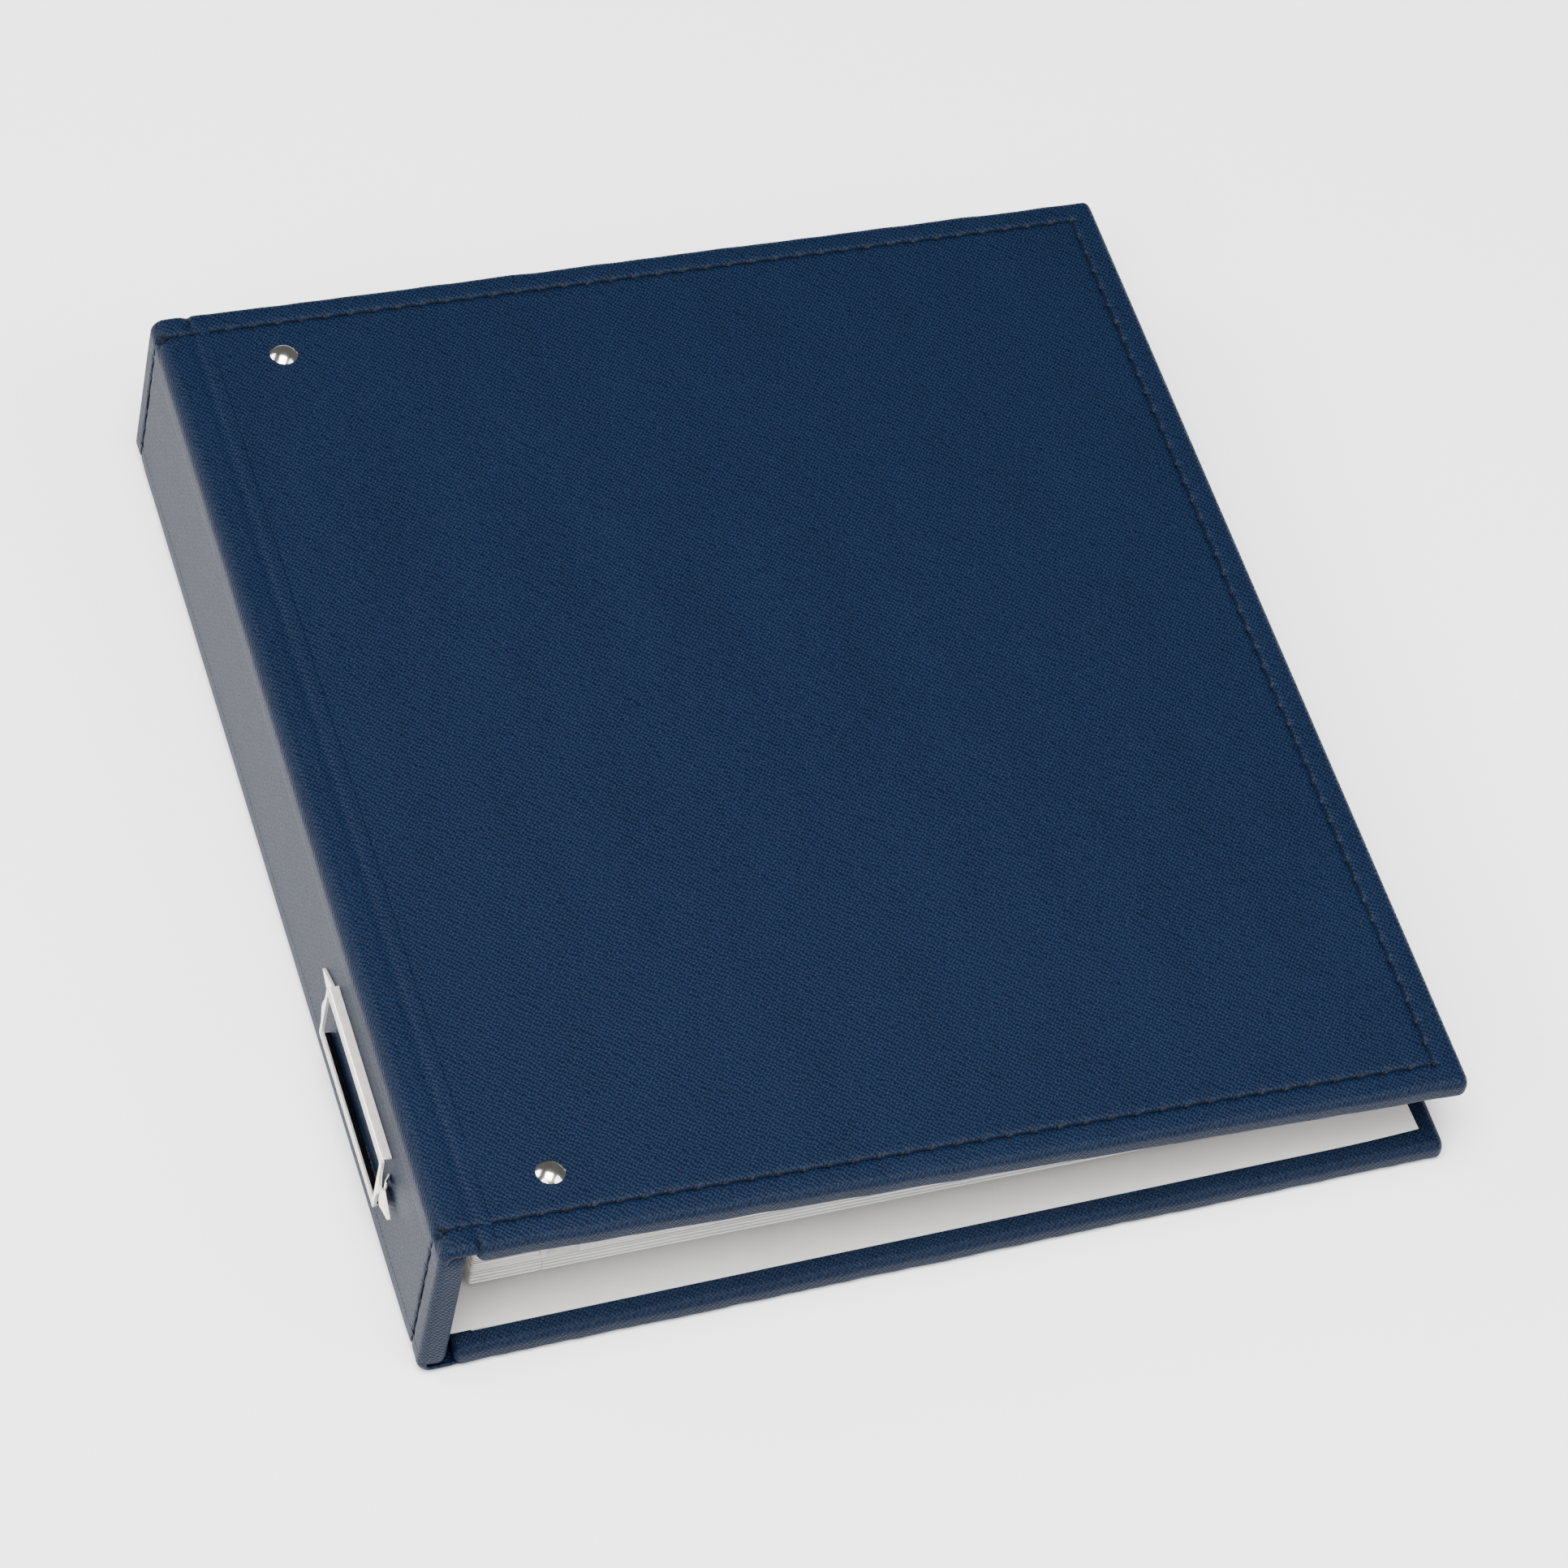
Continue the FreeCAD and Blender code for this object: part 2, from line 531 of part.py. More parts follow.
def leg_across(height):
    """How far from the spine's edge the resting ring legs pass at a height."""
    low = tilted_point(LEG_ACROSS, RING_JOIN_HEIGHT)
    high = tilted_point(LEG_ACROSS, LEG_BEND_HEIGHT)
    share = (height - low[1]) / (high[1] - low[1])
    return low[0] + share * (high[0] - low[0])


def page_edge(height):
    return leg_across(height) - HOLE_TO_EDGE


def hole_tools(height, thickness):
    """Punched holes with room for the legs to swing open."""
    swing = math.radians(RING_OPENING_DEG) * (RAIL_HEIGHT - height)
    across = leg_across(height) + swing / 2
    low = height - thickness / 2 - CUT_MARGIN
    return Part.makeCompound([Part.makeCylinder(HOLE_RADIUS, thickness + 2 * CUT_MARGIN,
                                                Vector(across, y, low))
                              for y in RING_PLACES])


def page_slab(height, thickness, x):
    half = thickness / 2
    return box(x, (-PAGE_LENGTH / 2, PAGE_LENGTH / 2), (height - half, height + half))


def page_packs():
    packs = {}
    base = PAGE_BLOCK_HEIGHT + LEAF_COUNT * LEAF_PITCH
    for i in range(PACK_COUNT):
        height = base + i * (PACK_THICKNESS + PACK_GAP) + PACK_THICKNESS / 2
        edge = page_edge(height)
        slab = page_slab(height, PACK_THICKNESS, (edge, edge + PAGE_WIDTH))
        slab = slab.cut(hole_tools(height, PACK_THICKNESS))
        packs["page_pack_%d" % (i + 1)] = tilt_pages(slab)
    return packs


def leaf_height(i):
    return PAGE_BLOCK_HEIGHT + (i + 0.5) * LEAF_THICKNESS + i * (LEAF_PITCH - LEAF_THICKNESS)


def leaf_hinge(i):
    """Where a leaf bends, before the block sags."""
    return Vector(page_edge(leaf_height(i)) + LEAF_STRIP_WIDTH + LEAF_HINGE_OFFSET, 0,
                  leaf_height(i))


def single_leaves():
    """Punched strips that stay on the rings, and the leaves that turn beside them."""
    nodes = {}
    strips = []
    for i in range(LEAF_COUNT):
        height = leaf_height(i)
        edge = page_edge(height)
        strip = page_slab(height, LEAF_THICKNESS, (edge, edge + LEAF_STRIP_WIDTH))
        strips.append(strip.cut(hole_tools(height, LEAF_THICKNESS)))
        start = leaf_hinge(i).x + LEAF_HINGE_OFFSET / 2
        leaf = page_slab(height, LEAF_THICKNESS, (start, edge + PAGE_WIDTH))
        nodes["leaf_%d" % (i + 1)] = tilt_pages(leaf)
    nodes["leaf_strips"] = tilt_pages(Part.makeCompound(strips))
    return nodes


def all_parts():
    parts = {}
    parts.update(front_cover())
    parts.update(spine_panel())
    parts.update(back_cover())
    parts["ring_rivets"] = ring_rivets()
    parts["ring_housing"] = ring_housing()
    parts["lever_pins"] = tilt_back(Part.makeCompound([lever_pin(-1, LEVER_PIN_RADIUS),
                                                       lever_pin(1, LEVER_PIN_RADIUS)]))
    parts["near_lever"] = lever(-1)
    parts["far_lever"] = lever(1)
    parts["spine_side_rail"] = rail(-1)
    parts["page_side_rail"] = rail(1)
    parts["ring_legs"] = ring_legs()
    parts["ring_arches"] = ring_arches()
    parts.update(page_packs())
    parts.update(single_leaves())
    return parts


def report_joint(name, point, shift):
    print("%s %.5f %.5f %.5f" % (name, (point.x + shift) / 1000, point.y / 1000, point.z / 1000))


parts = all_parts()
everything = Part.makeCompound(list(parts.values())).BoundBox
shift = -(everything.XMin + everything.XMax) / 2
for node, shape in parts.items():
    shape.translate(Vector(shift, 0, 0))
    if not shape.isValid():
        print("not valid:", node)
    shape.exportStep("parts/%s.step" % node)

print("size %.2f %.2f %.2f" % (everything.XLength, everything.YLength, everything.ZMax))
print("shift %.5f  lowest %.3f  spine height %.2f" % (shift, everything.ZMin, SPINE_HEIGHT))
print("front_hinge_range %.3f" % (90 + LEAN))
print("back_hinge_range %.3f" % (90 - LEAN + SLOPE))
print("lean %.4f slope %.4f" % (LEAN, SLOPE))
report_joint("front_axis", FRONT_AXIS, shift)
report_joint("back_axis", BACK_AXIS, shift)
for side, label in ((-1, "spine_rail"), (1, "page_rail")):
    across = RING_BASE_ACROSS + side * (RAIL_SPLIT / 2 + RAIL_WIDTH)
    x, z = tilted_point(across, RAIL_HEIGHT)
    report_joint(label, Vector(x, 0, z), shift)
x, z = tilted_point(RING_BASE_ACROSS, RAIL_HEIGHT - LEVER_PIN_DROP)
for side, label in ((-1, "near_lever"), (1, "far_lever")):
    report_joint(label, Vector(x, side * LEVER_FROM_MIDDLE, z), shift)
for i in range(LEAF_COUNT):
    marker = tilt_pages(Part.Vertex(leaf_hinge(i)))
    report_joint("leaf_%d" % (i + 1), marker.Point, shift)
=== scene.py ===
import json
import math
import random

import bmesh
import bpy
import numpy as np
from mathutils import Matrix, Vector


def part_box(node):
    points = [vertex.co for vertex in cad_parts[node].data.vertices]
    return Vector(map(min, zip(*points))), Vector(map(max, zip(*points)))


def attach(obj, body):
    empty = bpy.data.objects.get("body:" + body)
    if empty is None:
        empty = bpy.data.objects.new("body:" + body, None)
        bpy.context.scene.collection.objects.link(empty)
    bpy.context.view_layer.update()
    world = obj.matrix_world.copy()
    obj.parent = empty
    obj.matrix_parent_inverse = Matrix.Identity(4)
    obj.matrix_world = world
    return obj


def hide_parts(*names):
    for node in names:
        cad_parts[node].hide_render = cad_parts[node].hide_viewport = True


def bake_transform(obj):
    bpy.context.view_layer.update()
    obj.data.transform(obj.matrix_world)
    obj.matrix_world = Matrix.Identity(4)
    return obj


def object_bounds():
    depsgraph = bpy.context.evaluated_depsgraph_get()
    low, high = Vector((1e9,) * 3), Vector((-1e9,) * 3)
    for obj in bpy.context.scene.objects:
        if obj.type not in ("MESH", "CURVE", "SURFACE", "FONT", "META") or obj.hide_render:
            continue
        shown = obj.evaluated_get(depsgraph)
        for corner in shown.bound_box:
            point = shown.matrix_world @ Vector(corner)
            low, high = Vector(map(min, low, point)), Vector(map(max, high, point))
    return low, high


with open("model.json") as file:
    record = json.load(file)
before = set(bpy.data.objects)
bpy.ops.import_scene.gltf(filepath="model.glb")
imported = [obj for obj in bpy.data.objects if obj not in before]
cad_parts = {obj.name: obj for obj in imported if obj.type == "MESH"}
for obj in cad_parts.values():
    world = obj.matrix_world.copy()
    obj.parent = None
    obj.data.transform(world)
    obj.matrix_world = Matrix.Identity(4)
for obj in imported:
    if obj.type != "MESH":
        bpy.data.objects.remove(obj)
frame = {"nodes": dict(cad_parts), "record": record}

CAD_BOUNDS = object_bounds()
MM = 0.001
RECORD = frame["record"]
JOINTS = {joint["name"]: joint for joint in RECORD["behaviour"]["joints"]}

# ---- camera and light (angles in degrees, places in metres)
CAMERA_HEADING = 20.374       # from the Y axis towards X
CAMERA_DOWN = 51.419
CAMERA_ROLL = 5.203
CAMERA_TARGET = (-0.0022, -0.0180, 0.0250)
CAMERA_DISTANCE = 1.7323
CAMERA_LENS = 150.75
CAMERA_SENSOR = 36.0
WORLD_STRENGTH = 0.16
LIGHTS = (                    # name, place, size and watts; each aims at the album
    ("front_left", (-1.7, -1.5, 1.9), (1.8, 1.5), 65),
    ("front_right", (1.7, -1.6, 1.9), (1.8, 1.5), 60),
    ("overhead", (-0.3, -0.5, 2.4), (1.6, 1.6), 190),
    ("behind_left", (-2.2, 1.4, 1.6), (1.5, 1.2), 60),
)
FLOOR_HALF = 4000             # millimetres
FLOOR_GAP = 0.0002

# ---- leatherette case (millimetres)
SPINE_EDGE_RADIUS = 3.85
RIM_RADIUS = 2.2              # head, tail and fore-edge rims
PLAN_CORNER = 2.2
SPINE_CORNER = 4.6
SPINE_TIP = 1.05              # left free at both long edges of the spine for the hinge cloth
SPINE_TURN_IN = 0.4           # the wrap's inner face stays this far outside the spine's own
STRIP_PROUD = 0.04            # hinge cloth over the panels
STRIP_CLOTH = 1.0
STRIP_EDGE = 0.05             # thickness left at its skived edges
STRIP_TRIM = 0.12             # shorter than the panels at each end
STRIP_ON_SPINE = 4.0
STRIP_ON_COVER = 5.0
STITCH_INSET = 7.6
STITCH_PITCH = 6.8
THREAD_RADIUS = 0.30
THREAD_SUNK = 0.14
GROOVE_DEPTH = 0.24
GROOVE_WIDTH = 0.60
HOLE_DEPTH = 0.95
HOLE_WIDTH = 0.72
NEEDLE_GAP = 0.8              # the thread shows between the needle holes
ROW_OVERRUN = 0.5             # the sewn groove runs on past the corner hole
CREASE_DEPTH = 0.30           # crease in the cloth beside each board
CREASE_OFFSET = 0.4
CREASE_WIDTH = 1.5
PUCKERS = ((0.80, 1.3, 2.4),  # depth, width across the sewn row, width round the spine's edge
           (0.35, 4.0, 4.0))
END_DIP = (0.9, 0.5, 3.2, 0.6, 1.1)   # depth, place and width at the cloth's end and at the board
END_SWELL = (0.35, 2.5, 2.4, 2.6)     # height, place and width at the end, width round the hinge
THREAD_PUCKER = 3.0
THREAD_DIP = 0.95             # further down into the needle holes
THREAD_THINNED = 0.45         # share of its radius the thread loses in a hole
THREAD_SIDES = 8
NEARLY_HALF = 0.49            # a rim's radius stays under half of the panel's thickness


# ---- frames of the three panels
def turned(point, angle):
    """A point (x, z) turned about Y the way the closed case leans."""
    c, s = math.cos(angle), math.sin(angle)
    return np.array([point[0] * c + point[1] * s, -point[0] * s + point[1] * c])


def axis_place(name):
    place = JOINTS[name]["pos_m"]
    return np.array([place[0], place[2]]) / MM


def local_range(node, pivot, angle):
    """Lowest and highest (x, z) of a node, seen square with a panel turned about a pivot."""
    points = np.array([v.co for v in frame["nodes"][node].data.vertices]) / MM
    dx = points[:, 0] - pivot[0]
    dz = points[:, 2] - pivot[1]
    c, s = math.cos(angle), math.sin(angle)
    local = np.stack([dx * c - dz * s, dx * s + dz * c], 1)
    return local.min(0), local.max(0)


def board_slope():
    """The back board's slope, from its box and its thickness."""
    low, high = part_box("front_cover_board")
    thickness = high.z - low.z
    low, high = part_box("back_cover_board")
    angle = 0.0
    for _ in range(20):
        angle = math.atan2(high.z - low.z - thickness * math.cos(angle),
                           high.x - low.x - thickness * math.sin(angle))
    return angle


FRONT_AXIS = axis_place("front_hinge")
BACK_AXIS = axis_place("back_hinge")
LEAN = math.atan2(BACK_AXIS[0] - FRONT_AXIS[0], BACK_AXIS[1] - FRONT_AXIS[1])
SLOPE = board_slope()
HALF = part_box("back_cover_skin")[1].y / MM
SPINE_LOW, SPINE_HIGH = local_range("spine_skin", FRONT_AXIS, LEAN)
SPINE_THICKNESS = SPINE_HIGH[0] - SPINE_LOW[0]
SPINE_HEIGHT = SPINE_HIGH[1] - SPINE_LOW[1]
BACK_LOW, BACK_HIGH = local_range("back_cover_skin", BACK_AXIS, SLOPE)
FRONT_LOW, FRONT_HIGH = local_range("front_cover_skin", FRONT_AXIS, 0.0)
COVER_SKIN_DEPTH = FRONT_HIGH[1] - FRONT_LOW[1]


class Cloth:
    """The leatherette's outer surface, followed from the middle of the spine, over one hinge, to a
    fore-edge. distance is measured along it; at() gives its place and outward direction in XZ."""

    def __init__(self, upper):
        self.upper = upper
        angle = SLOPE if upper else 0.0
        self.axis = BACK_AXIS if upper else FRONT_AXIS
        face = BACK_HIGH[1] if upper else FRONT_LOW[1]
        self.along = turned((1.0, 0.0), angle)
        self.cover_out = turned((0.0, 1.0 if upper else -1.0), angle)
        self.face = self.axis + turned((0.0, face), angle)
        self.spine_out = turned((-1.0, 0.0), LEAN)
        self.spine_along = turned((0.0, 1.0 if upper else -1.0), LEAN)
        self.middle = FRONT_AXIS + turned((SPINE_LOW[0], SPINE_LOW[1] + SPINE_HEIGHT / 2), LEAN)
        self.arc_start = SPINE_HEIGHT / 2 - SPINE_EDGE_RADIUS
        self.centre_a = (self.middle + self.spine_along * self.arc_start
                         - self.spine_out * SPINE_EDGE_RADIUS)
        reach = float(np.dot(self.centre_a - self.face, self.along))
        self.reach = reach
        self.centre_b = self.face + self.along * reach - self.cover_out * SPINE_EDGE_RADIUS
        self.turn = math.acos(float(np.dot(self.spine_out, self.cover_out)))
        self.arc_end = self.arc_start + SPINE_EDGE_RADIUS * self.turn
        low, high = (BACK_LOW, BACK_HIGH) if upper else (FRONT_LOW, FRONT_HIGH)
        self.cover_start = self.arc_end + low[0] - reach
        self.cover_end = self.arc_end + high[0] - reach
        self.sense = 1.0 if upper else -1.0

    def at(self, distance):
        if distance <= self.arc_start:
            return self.middle + self.spine_along * distance, self.spine_out
        if distance >= self.arc_end:
            return self.face + self.along * (self.reach + distance - self.arc_end), self.cover_out
        share = (distance - self.arc_start) / (self.arc_end - self.arc_start)
        turn = self.turn * share
        out = self.spine_out * math.cos(turn) + self.spine_along * math.sin(turn)
        centre = self.centre_a * (1 - share) + self.centre_b * share
        return centre + out * SPINE_EDGE_RADIUS, out

    def hinge_span(self):
        """Start and end of the bend, as points in metres."""
        ends = []
        for share in (0.04, 0.96):
            place, _ = self.at(self.arc_start + (self.arc_end - self.arc_start) * share)
            ends.append((place[0] * MM, 0.0, place[1] * MM))
        return ends


UPPER = Cloth(True)
LOWER = Cloth(False)


# ---- stitch layout and surface relief
def row_holes(cloth):
    """Needle holes along the head and tail rows, from the fore-edge to the spine's middle."""
    corner = cloth.cover_end - STITCH_INSET
    count = round(corner / STITCH_PITCH)
    pitch = corner / (count + 0.5)
    return [corner - pitch * i for i in range(count + 1)]


def fore_edge_holes():
    span = 2 * (HALF - STITCH_INSET)
    count = round(span / STITCH_PITCH)
    return [-span / 2 + span / count * i for i in range(count + 1)]


FORE_HOLES = fore_edge_holes()


def bump(x, width):
    return np.exp(-(x / width) ** 2)


def nearest(values, places):
    places = np.asarray(places)
    return np.min(np.abs(values[..., None] - places), axis=-1)


def waves(s, y, seed, size, count=7, shortest=45.0, longest=150.0):
    """Gentle unevenness of padded cloth: a few long waves of different directions."""
    rng = np.random.default_rng(seed)
    total = np.zeros_like(s)
    for _ in range(count):
        length = rng.uniform(shortest, longest)
        heading = rng.uniform(0, math.pi)
        phase = rng.uniform(0, 2 * math.pi)
        run = s * math.cos(heading) + y * math.sin(heading)
        total += np.sin(run * 2 * math.pi / length + phase)
    return total * size / math.sqrt(count)


def stitch_relief(cloth, s, y):
    """How far the sewn rows press into the cloth."""
    row = HALF - STITCH_INSET
    corner = cloth.cover_end - STITCH_INSET
    holes = row_holes(cloth)
    from_row = np.abs(np.abs(y) - row)
    on_row = s < corner + ROW_OVERRUN
    depth = GROOVE_DEPTH * bump(from_row, GROOVE_WIDTH) * on_row
    hole = np.sqrt(from_row ** 2 + nearest(s, holes) ** 2)
    depth += HOLE_DEPTH * bump(hole, HOLE_WIDTH) * on_row
    from_line = np.abs(s - corner)
    on_line = np.abs(y) < row + ROW_OVERRUN
    depth = np.maximum(depth, GROOVE_DEPTH * bump(from_line, GROOVE_WIDTH) * on_line)
    hole = np.sqrt(from_line ** 2 + nearest(y, FORE_HOLES) ** 2)
    return np.maximum(depth, (HOLE_DEPTH + GROOVE_DEPTH) * bump(hole, HOLE_WIDTH) * on_line)


def hinge_relief(cloth, s, y, seed):
    """Crease beside the board, puckers where the sewn rows cross the edge, and soft folds."""
    from_row = np.abs(y) - (HALF - STITCH_INSET)
    from_end = np.abs(y) - HALF
    from_middle = s - (cloth.arc_start + cloth.arc_end) / 2
    from_board = s - cloth.cover_start
    from_hinge = s - (cloth.arc_end + cloth.cover_start) / 2
    depth = CREASE_DEPTH * bump(from_board - CREASE_OFFSET, CREASE_WIDTH)
    for press, across, around in PUCKERS:
        depth += press * bump(from_row, across) * bump(from_middle, around)
    press, end_place, across, board_place, around = END_DIP
    depth += press * bump(from_end - end_place, across) * bump(from_board - board_place, around)
    press, end_place, across, around = END_SWELL
    depth -= press * bump(from_end + end_place, across) * bump(from_hinge, around)
    depth += waves(s * 0.2, y, seed, 0.05, shortest=14.0, longest=70.0)
    return depth if cloth.upper else np.maximum(depth, 0.0)


# ---- mesh helpers
def new_object(name, verts, faces, grain=None, pit_shade=None):
    mesh = bpy.data.meshes.new(name)
    mesh.from_pydata((np.asarray(verts) * MM).tolist(), [], faces)
    mesh.update()
    if grain is not None:
        layer = mesh.attributes.new("grain", "FLOAT_VECTOR", "POINT")
        layer.data.foreach_set("vector", np.asarray(grain, np.float32).ravel() * MM)
    if pit_shade is not None:
        layer = mesh.attributes.new("pit_shade", "FLOAT", "POINT")
        layer.data.foreach_set("value", np.asarray(pit_shade, np.float32))
    mesh.polygons.foreach_set("use_smooth", [True] * len(mesh.polygons))
    obj = bpy.data.objects.new(name, mesh)
    bpy.context.scene.collection.objects.link(obj)
    return obj


def sharpen(obj, angle=40.0):
    """Keep corners above an angle crisp while the rest stays smooth."""
    obj.data.set_sharp_from_angle(angle=math.radians(angle))


def fix_normals(obj):
    bm = bmesh.new()
    bm.from_mesh(obj.data)
    bmesh.ops.recalc_face_normals(bm, faces=bm.faces)
    bm.to_mesh(obj.data)
    bm.free()


def append_mesh(verts, faces, points, polygons):
    """Add one part's points and faces to the lists of the whole mesh."""
    first = len(verts)
    verts.extend(points)
    faces.extend(tuple(first + v for v in polygon) for polygon in polygons)


def grid_faces(rows, columns, first=0, wrap=False, flip=False):
    faces = []
    spans = columns if wrap else columns - 1
    for i in range(rows - 1):
        for j in range(spans):
            k = (j + 1) % columns
            a, b = first + i * columns + j, first + i * columns + k
            c, d = first + (i + 1) * columns + k, first + (i + 1) * columns + j
            faces.append((a, d, c, b) if flip else (a, b, c, d))
    return faces


def tube_points(path, radius, sides, side_hint):
    """Rings of points round a path given as an (n, 3) array, with one radius or a radius for each
    point.
    """
    path = np.asarray(path, float)
    tangents = np.gradient(path, axis=0)
    tangents /= np.linalg.norm(tangents, axis=1)[:, None]
    rings = []
    for place, tangent, r in zip(path, tangents, np.broadcast_to(radius, len(path))):
        u = np.cross(tangent, side_hint)
        u /= np.linalg.norm(u)
        v = np.cross(tangent, u)
        for k in range(sides):
            a = 2 * math.pi * k / sides
            rings.append(place + (u * math.cos(a) + v * math.sin(a)) * r)
    return rings


def add_tube(verts, faces, path, radius, sides, side_hint):
    first = len(verts)
    verts.extend(tube_points(path, radius, sides, side_hint))
    n = len(path)
    faces.extend(grid_faces(n, sides, first, wrap=True))
    faces.append(tuple(first + k for k in range(sides))[::-1])
    faces.append(tuple(first + (n - 1) * sides + k for k in range(sides)))


def spread(low, high, step):
    count = max(1, round((high - low) / step))
    return [low + (high - low) * i / count for i in range(count + 1)]


def merged(values, gap):
    """Sorted values with near duplicates left out."""
    kept = []
    for value in sorted(values):
        if not kept or value - kept[-1] > gap:
            kept.append(value)
    return kept


def around_holes(holes, pitch):
    """Mesh lines that resolve each needle hole."""
    lines = []
    for hole in holes:
        lines.extend([hole - 0.7, hole, hole + 0.7, hole + pitch / 2])
    return lines


# ---- wrapped panels
RIM_STEPS = 7
PIT_SHADE_START = 0.34              # how deep cloth is pressed in before painted shade darkens it, and over what range
PIT_SHADE_RANGE = 0.40
THINNEST_RIM = 0.05
BOTTOM_LINES = np.linspace(1, -1, 18)
MIRROR = np.array([-1.0, 1.0, -1.0, 1.0, -1.0])[:, None]


def part(y, depth, across, weight, side):
    """One stretch of a cross-section, as rows: place along Y, depth, distance along the cloth, and
    the shares of the relief that act on depth and on Y."""
    return np.array(np.broadcast_arrays(y, depth, across, weight, side), float)


def cross_section(lines, top, bottom, radius, flat, thin):
    """A closed ring round a panel or strip: upper face, rounded rim, lower face, rounded rim."""
    upper = lines * flat / np.abs(lines).max()
    angles = np.linspace(0, math.pi / 2, RIM_STEPS + 1)[1:]
    rim = part(flat + radius * np.sin(angles), top + radius * (1 - np.cos(angles)),
               flat + radius * angles, np.cos(angles), 0.0 if thin else np.sin(angles))
    if thin:
        inner = max(radius - (bottom - top), THINNEST_RIM)
        back = angles[::-1]
        turn = part(flat + inner * np.sin(back), top + radius - inner * np.cos(back),
                    flat + radius * back, np.cos(back), 0.0)
        lower = part(BOTTOM_LINES * flat, top + radius - inner, BOTTOM_LINES * flat, 1.0, 0.0)
    else:
        step = math.pi / 2 / RIM_STEPS
        straight = bottom - top - 2 * radius
        back = angles - step
        turn = part(flat + radius * np.cos(back), bottom - radius + radius * np.sin(back),
                    flat + straight + radius * (angles + math.pi / 2 - step), 0.0, np.cos(back))
        lower = part(BOTTOM_LINES * flat, bottom,
                     BOTTOM_LINES * (flat + straight + radius * math.pi), 0.0, 0.0)
    return np.concatenate([part(upper, top, upper, 1.0, 0.0), rim, turn, lower,
                           MIRROR * turn[:, ::-1], MIRROR * rim[:, ::-1]], axis=1)


def lofted(name, stations, lines, relief, thin=False):
    """A closed shell: at each station a cross-section along Y with rounded ends.
    A station is (s, place, out, top, bottom, trim, radius); thin shells follow the rim inside."""
    lines = np.asarray(lines, float)
    points, grain, pit_shades = [], [], []
    for s, place, out, top, bottom, trim, radius in stations:
        if not thin:
            radius = min(radius, (bottom - top) * NEARLY_HALF)
        y, depth, across, weight, side = cross_section(lines, top, bottom, radius,
                                                       HALF - trim - radius, thin)
        section_s = np.full(len(y), s)
        pressed = relief(section_s, y)
        depth = depth + pressed * weight
        # Painted shade: the deeper holes, grooves, puckers and creases press the cloth in, the more
        # its colour goes towards near-black.
        pit_shades.append(np.clip((pressed * weight - PIT_SHADE_START) / PIT_SHADE_RANGE, 0.0, 1.0))
        y = y - np.clip(pressed, 0.0, None) * side
        points.append(np.stack([place[0] - out[0] * depth, y, place[1] - out[1] * depth], 1))
        grain.append(np.stack([section_s, across, np.zeros(len(y))], 1))
    columns = len(points[0])
    faces = grid_faces(len(points), columns, wrap=True)
    faces.append(tuple(range(columns))[::-1])
    last = (len(points) - 1) * columns
    faces.append(tuple(last + k for k in range(columns)))
    points, grain, pit_shades = (np.concatenate(rows) for rows in (points, grain, pit_shades))
    obj = new_object(name, points, faces, grain, pit_shades)
    fix_normals(obj)
    return obj


def round_inset(edge, radius):
    """How far a rounded rim has drawn in at this distance from the panel's end."""
    if edge >= radius:
        return 0.0
    return radius - math.sqrt(max(radius ** 2 - (radius - edge) ** 2, 0.0))


RIM_SHARES = (0.0, 0.02, 0.08, 0.18, 0.32, 0.5, 0.72, 1.0)


def length_lines():
    """Mesh lines along Y that resolve the fore-edge holes and both sewn rows."""
    row = HALF - STITCH_INSET
    pitch = FORE_HOLES[1] - FORE_HOLES[0]
    lines = around_holes(FORE_HOLES, pitch)
    for side in (-1, 1):
        lines += [side * (row + offset) for offset in
                  (-3.5, -2.2, -1.4, -0.7, -0.35, 0, 0.35, 0.7, 1.4, 2.2)]
    limit = HALF - RIM_RADIUS
    return [line for line in merged(lines, 0.25) if abs(line) < limit - 0.1] + [limit, -limit]


LENGTH_LINES = sorted(length_lines())


def cover_wrap(cloth, name, seed):
    start, end = cloth.cover_start, cloth.cover_end
    holes = [hole for hole in row_holes(cloth) if hole > start + 3]
    pitch = holes[0] - holes[1]
    corner = end - STITCH_INSET
    lines = around_holes(holes, pitch)
    lines += [corner + offset for offset in (-2.4, -1.4, -0.7, -0.35, 0, 0.35, 0.7, 1.4, 2.4)]
    lines = [line for line in lines if start + RIM_RADIUS + 0.2 < line < end - RIM_RADIUS - 0.2]
    rims = [start + RIM_RADIUS * share for share in RIM_SHARES]
    rims += [end - RIM_RADIUS * share for share in RIM_SHARES]
    stations = []
    for s in merged(lines + rims, 0.01):
        edge = min(s - start, end - s)
        inset = round_inset(edge, RIM_RADIUS)
        trim = round_inset(end - s, PLAN_CORNER) + 0.6 * round_inset(s - start, 2.0)
        place, out = cloth.at(s)
        stations.append((s, place, out, inset, COVER_SKIN_DEPTH - inset, trim, RIM_RADIUS))

    def relief(s, y):
        crinkle = 0.16 + waves(s, y, seed + 5, 0.13, count=9, shortest=5.0, longest=24.0)
        near_rim = bump(np.abs(y) - HALF, 1.8)
        clear = np.clip((s - start - STRIP_ON_COVER) / 20.0, 0, 1)
        swell = waves(s, y, seed, 0.03, shortest=90.0, longest=240.0)
        depth = (stitch_relief(cloth, s, y) + swell * clear
                 + crinkle * near_rim * np.clip(clear * 5, 0, 1))
        return depth if cloth.upper else np.maximum(depth, 0.0)

    return lofted(name, stations, LENGTH_LINES, relief)


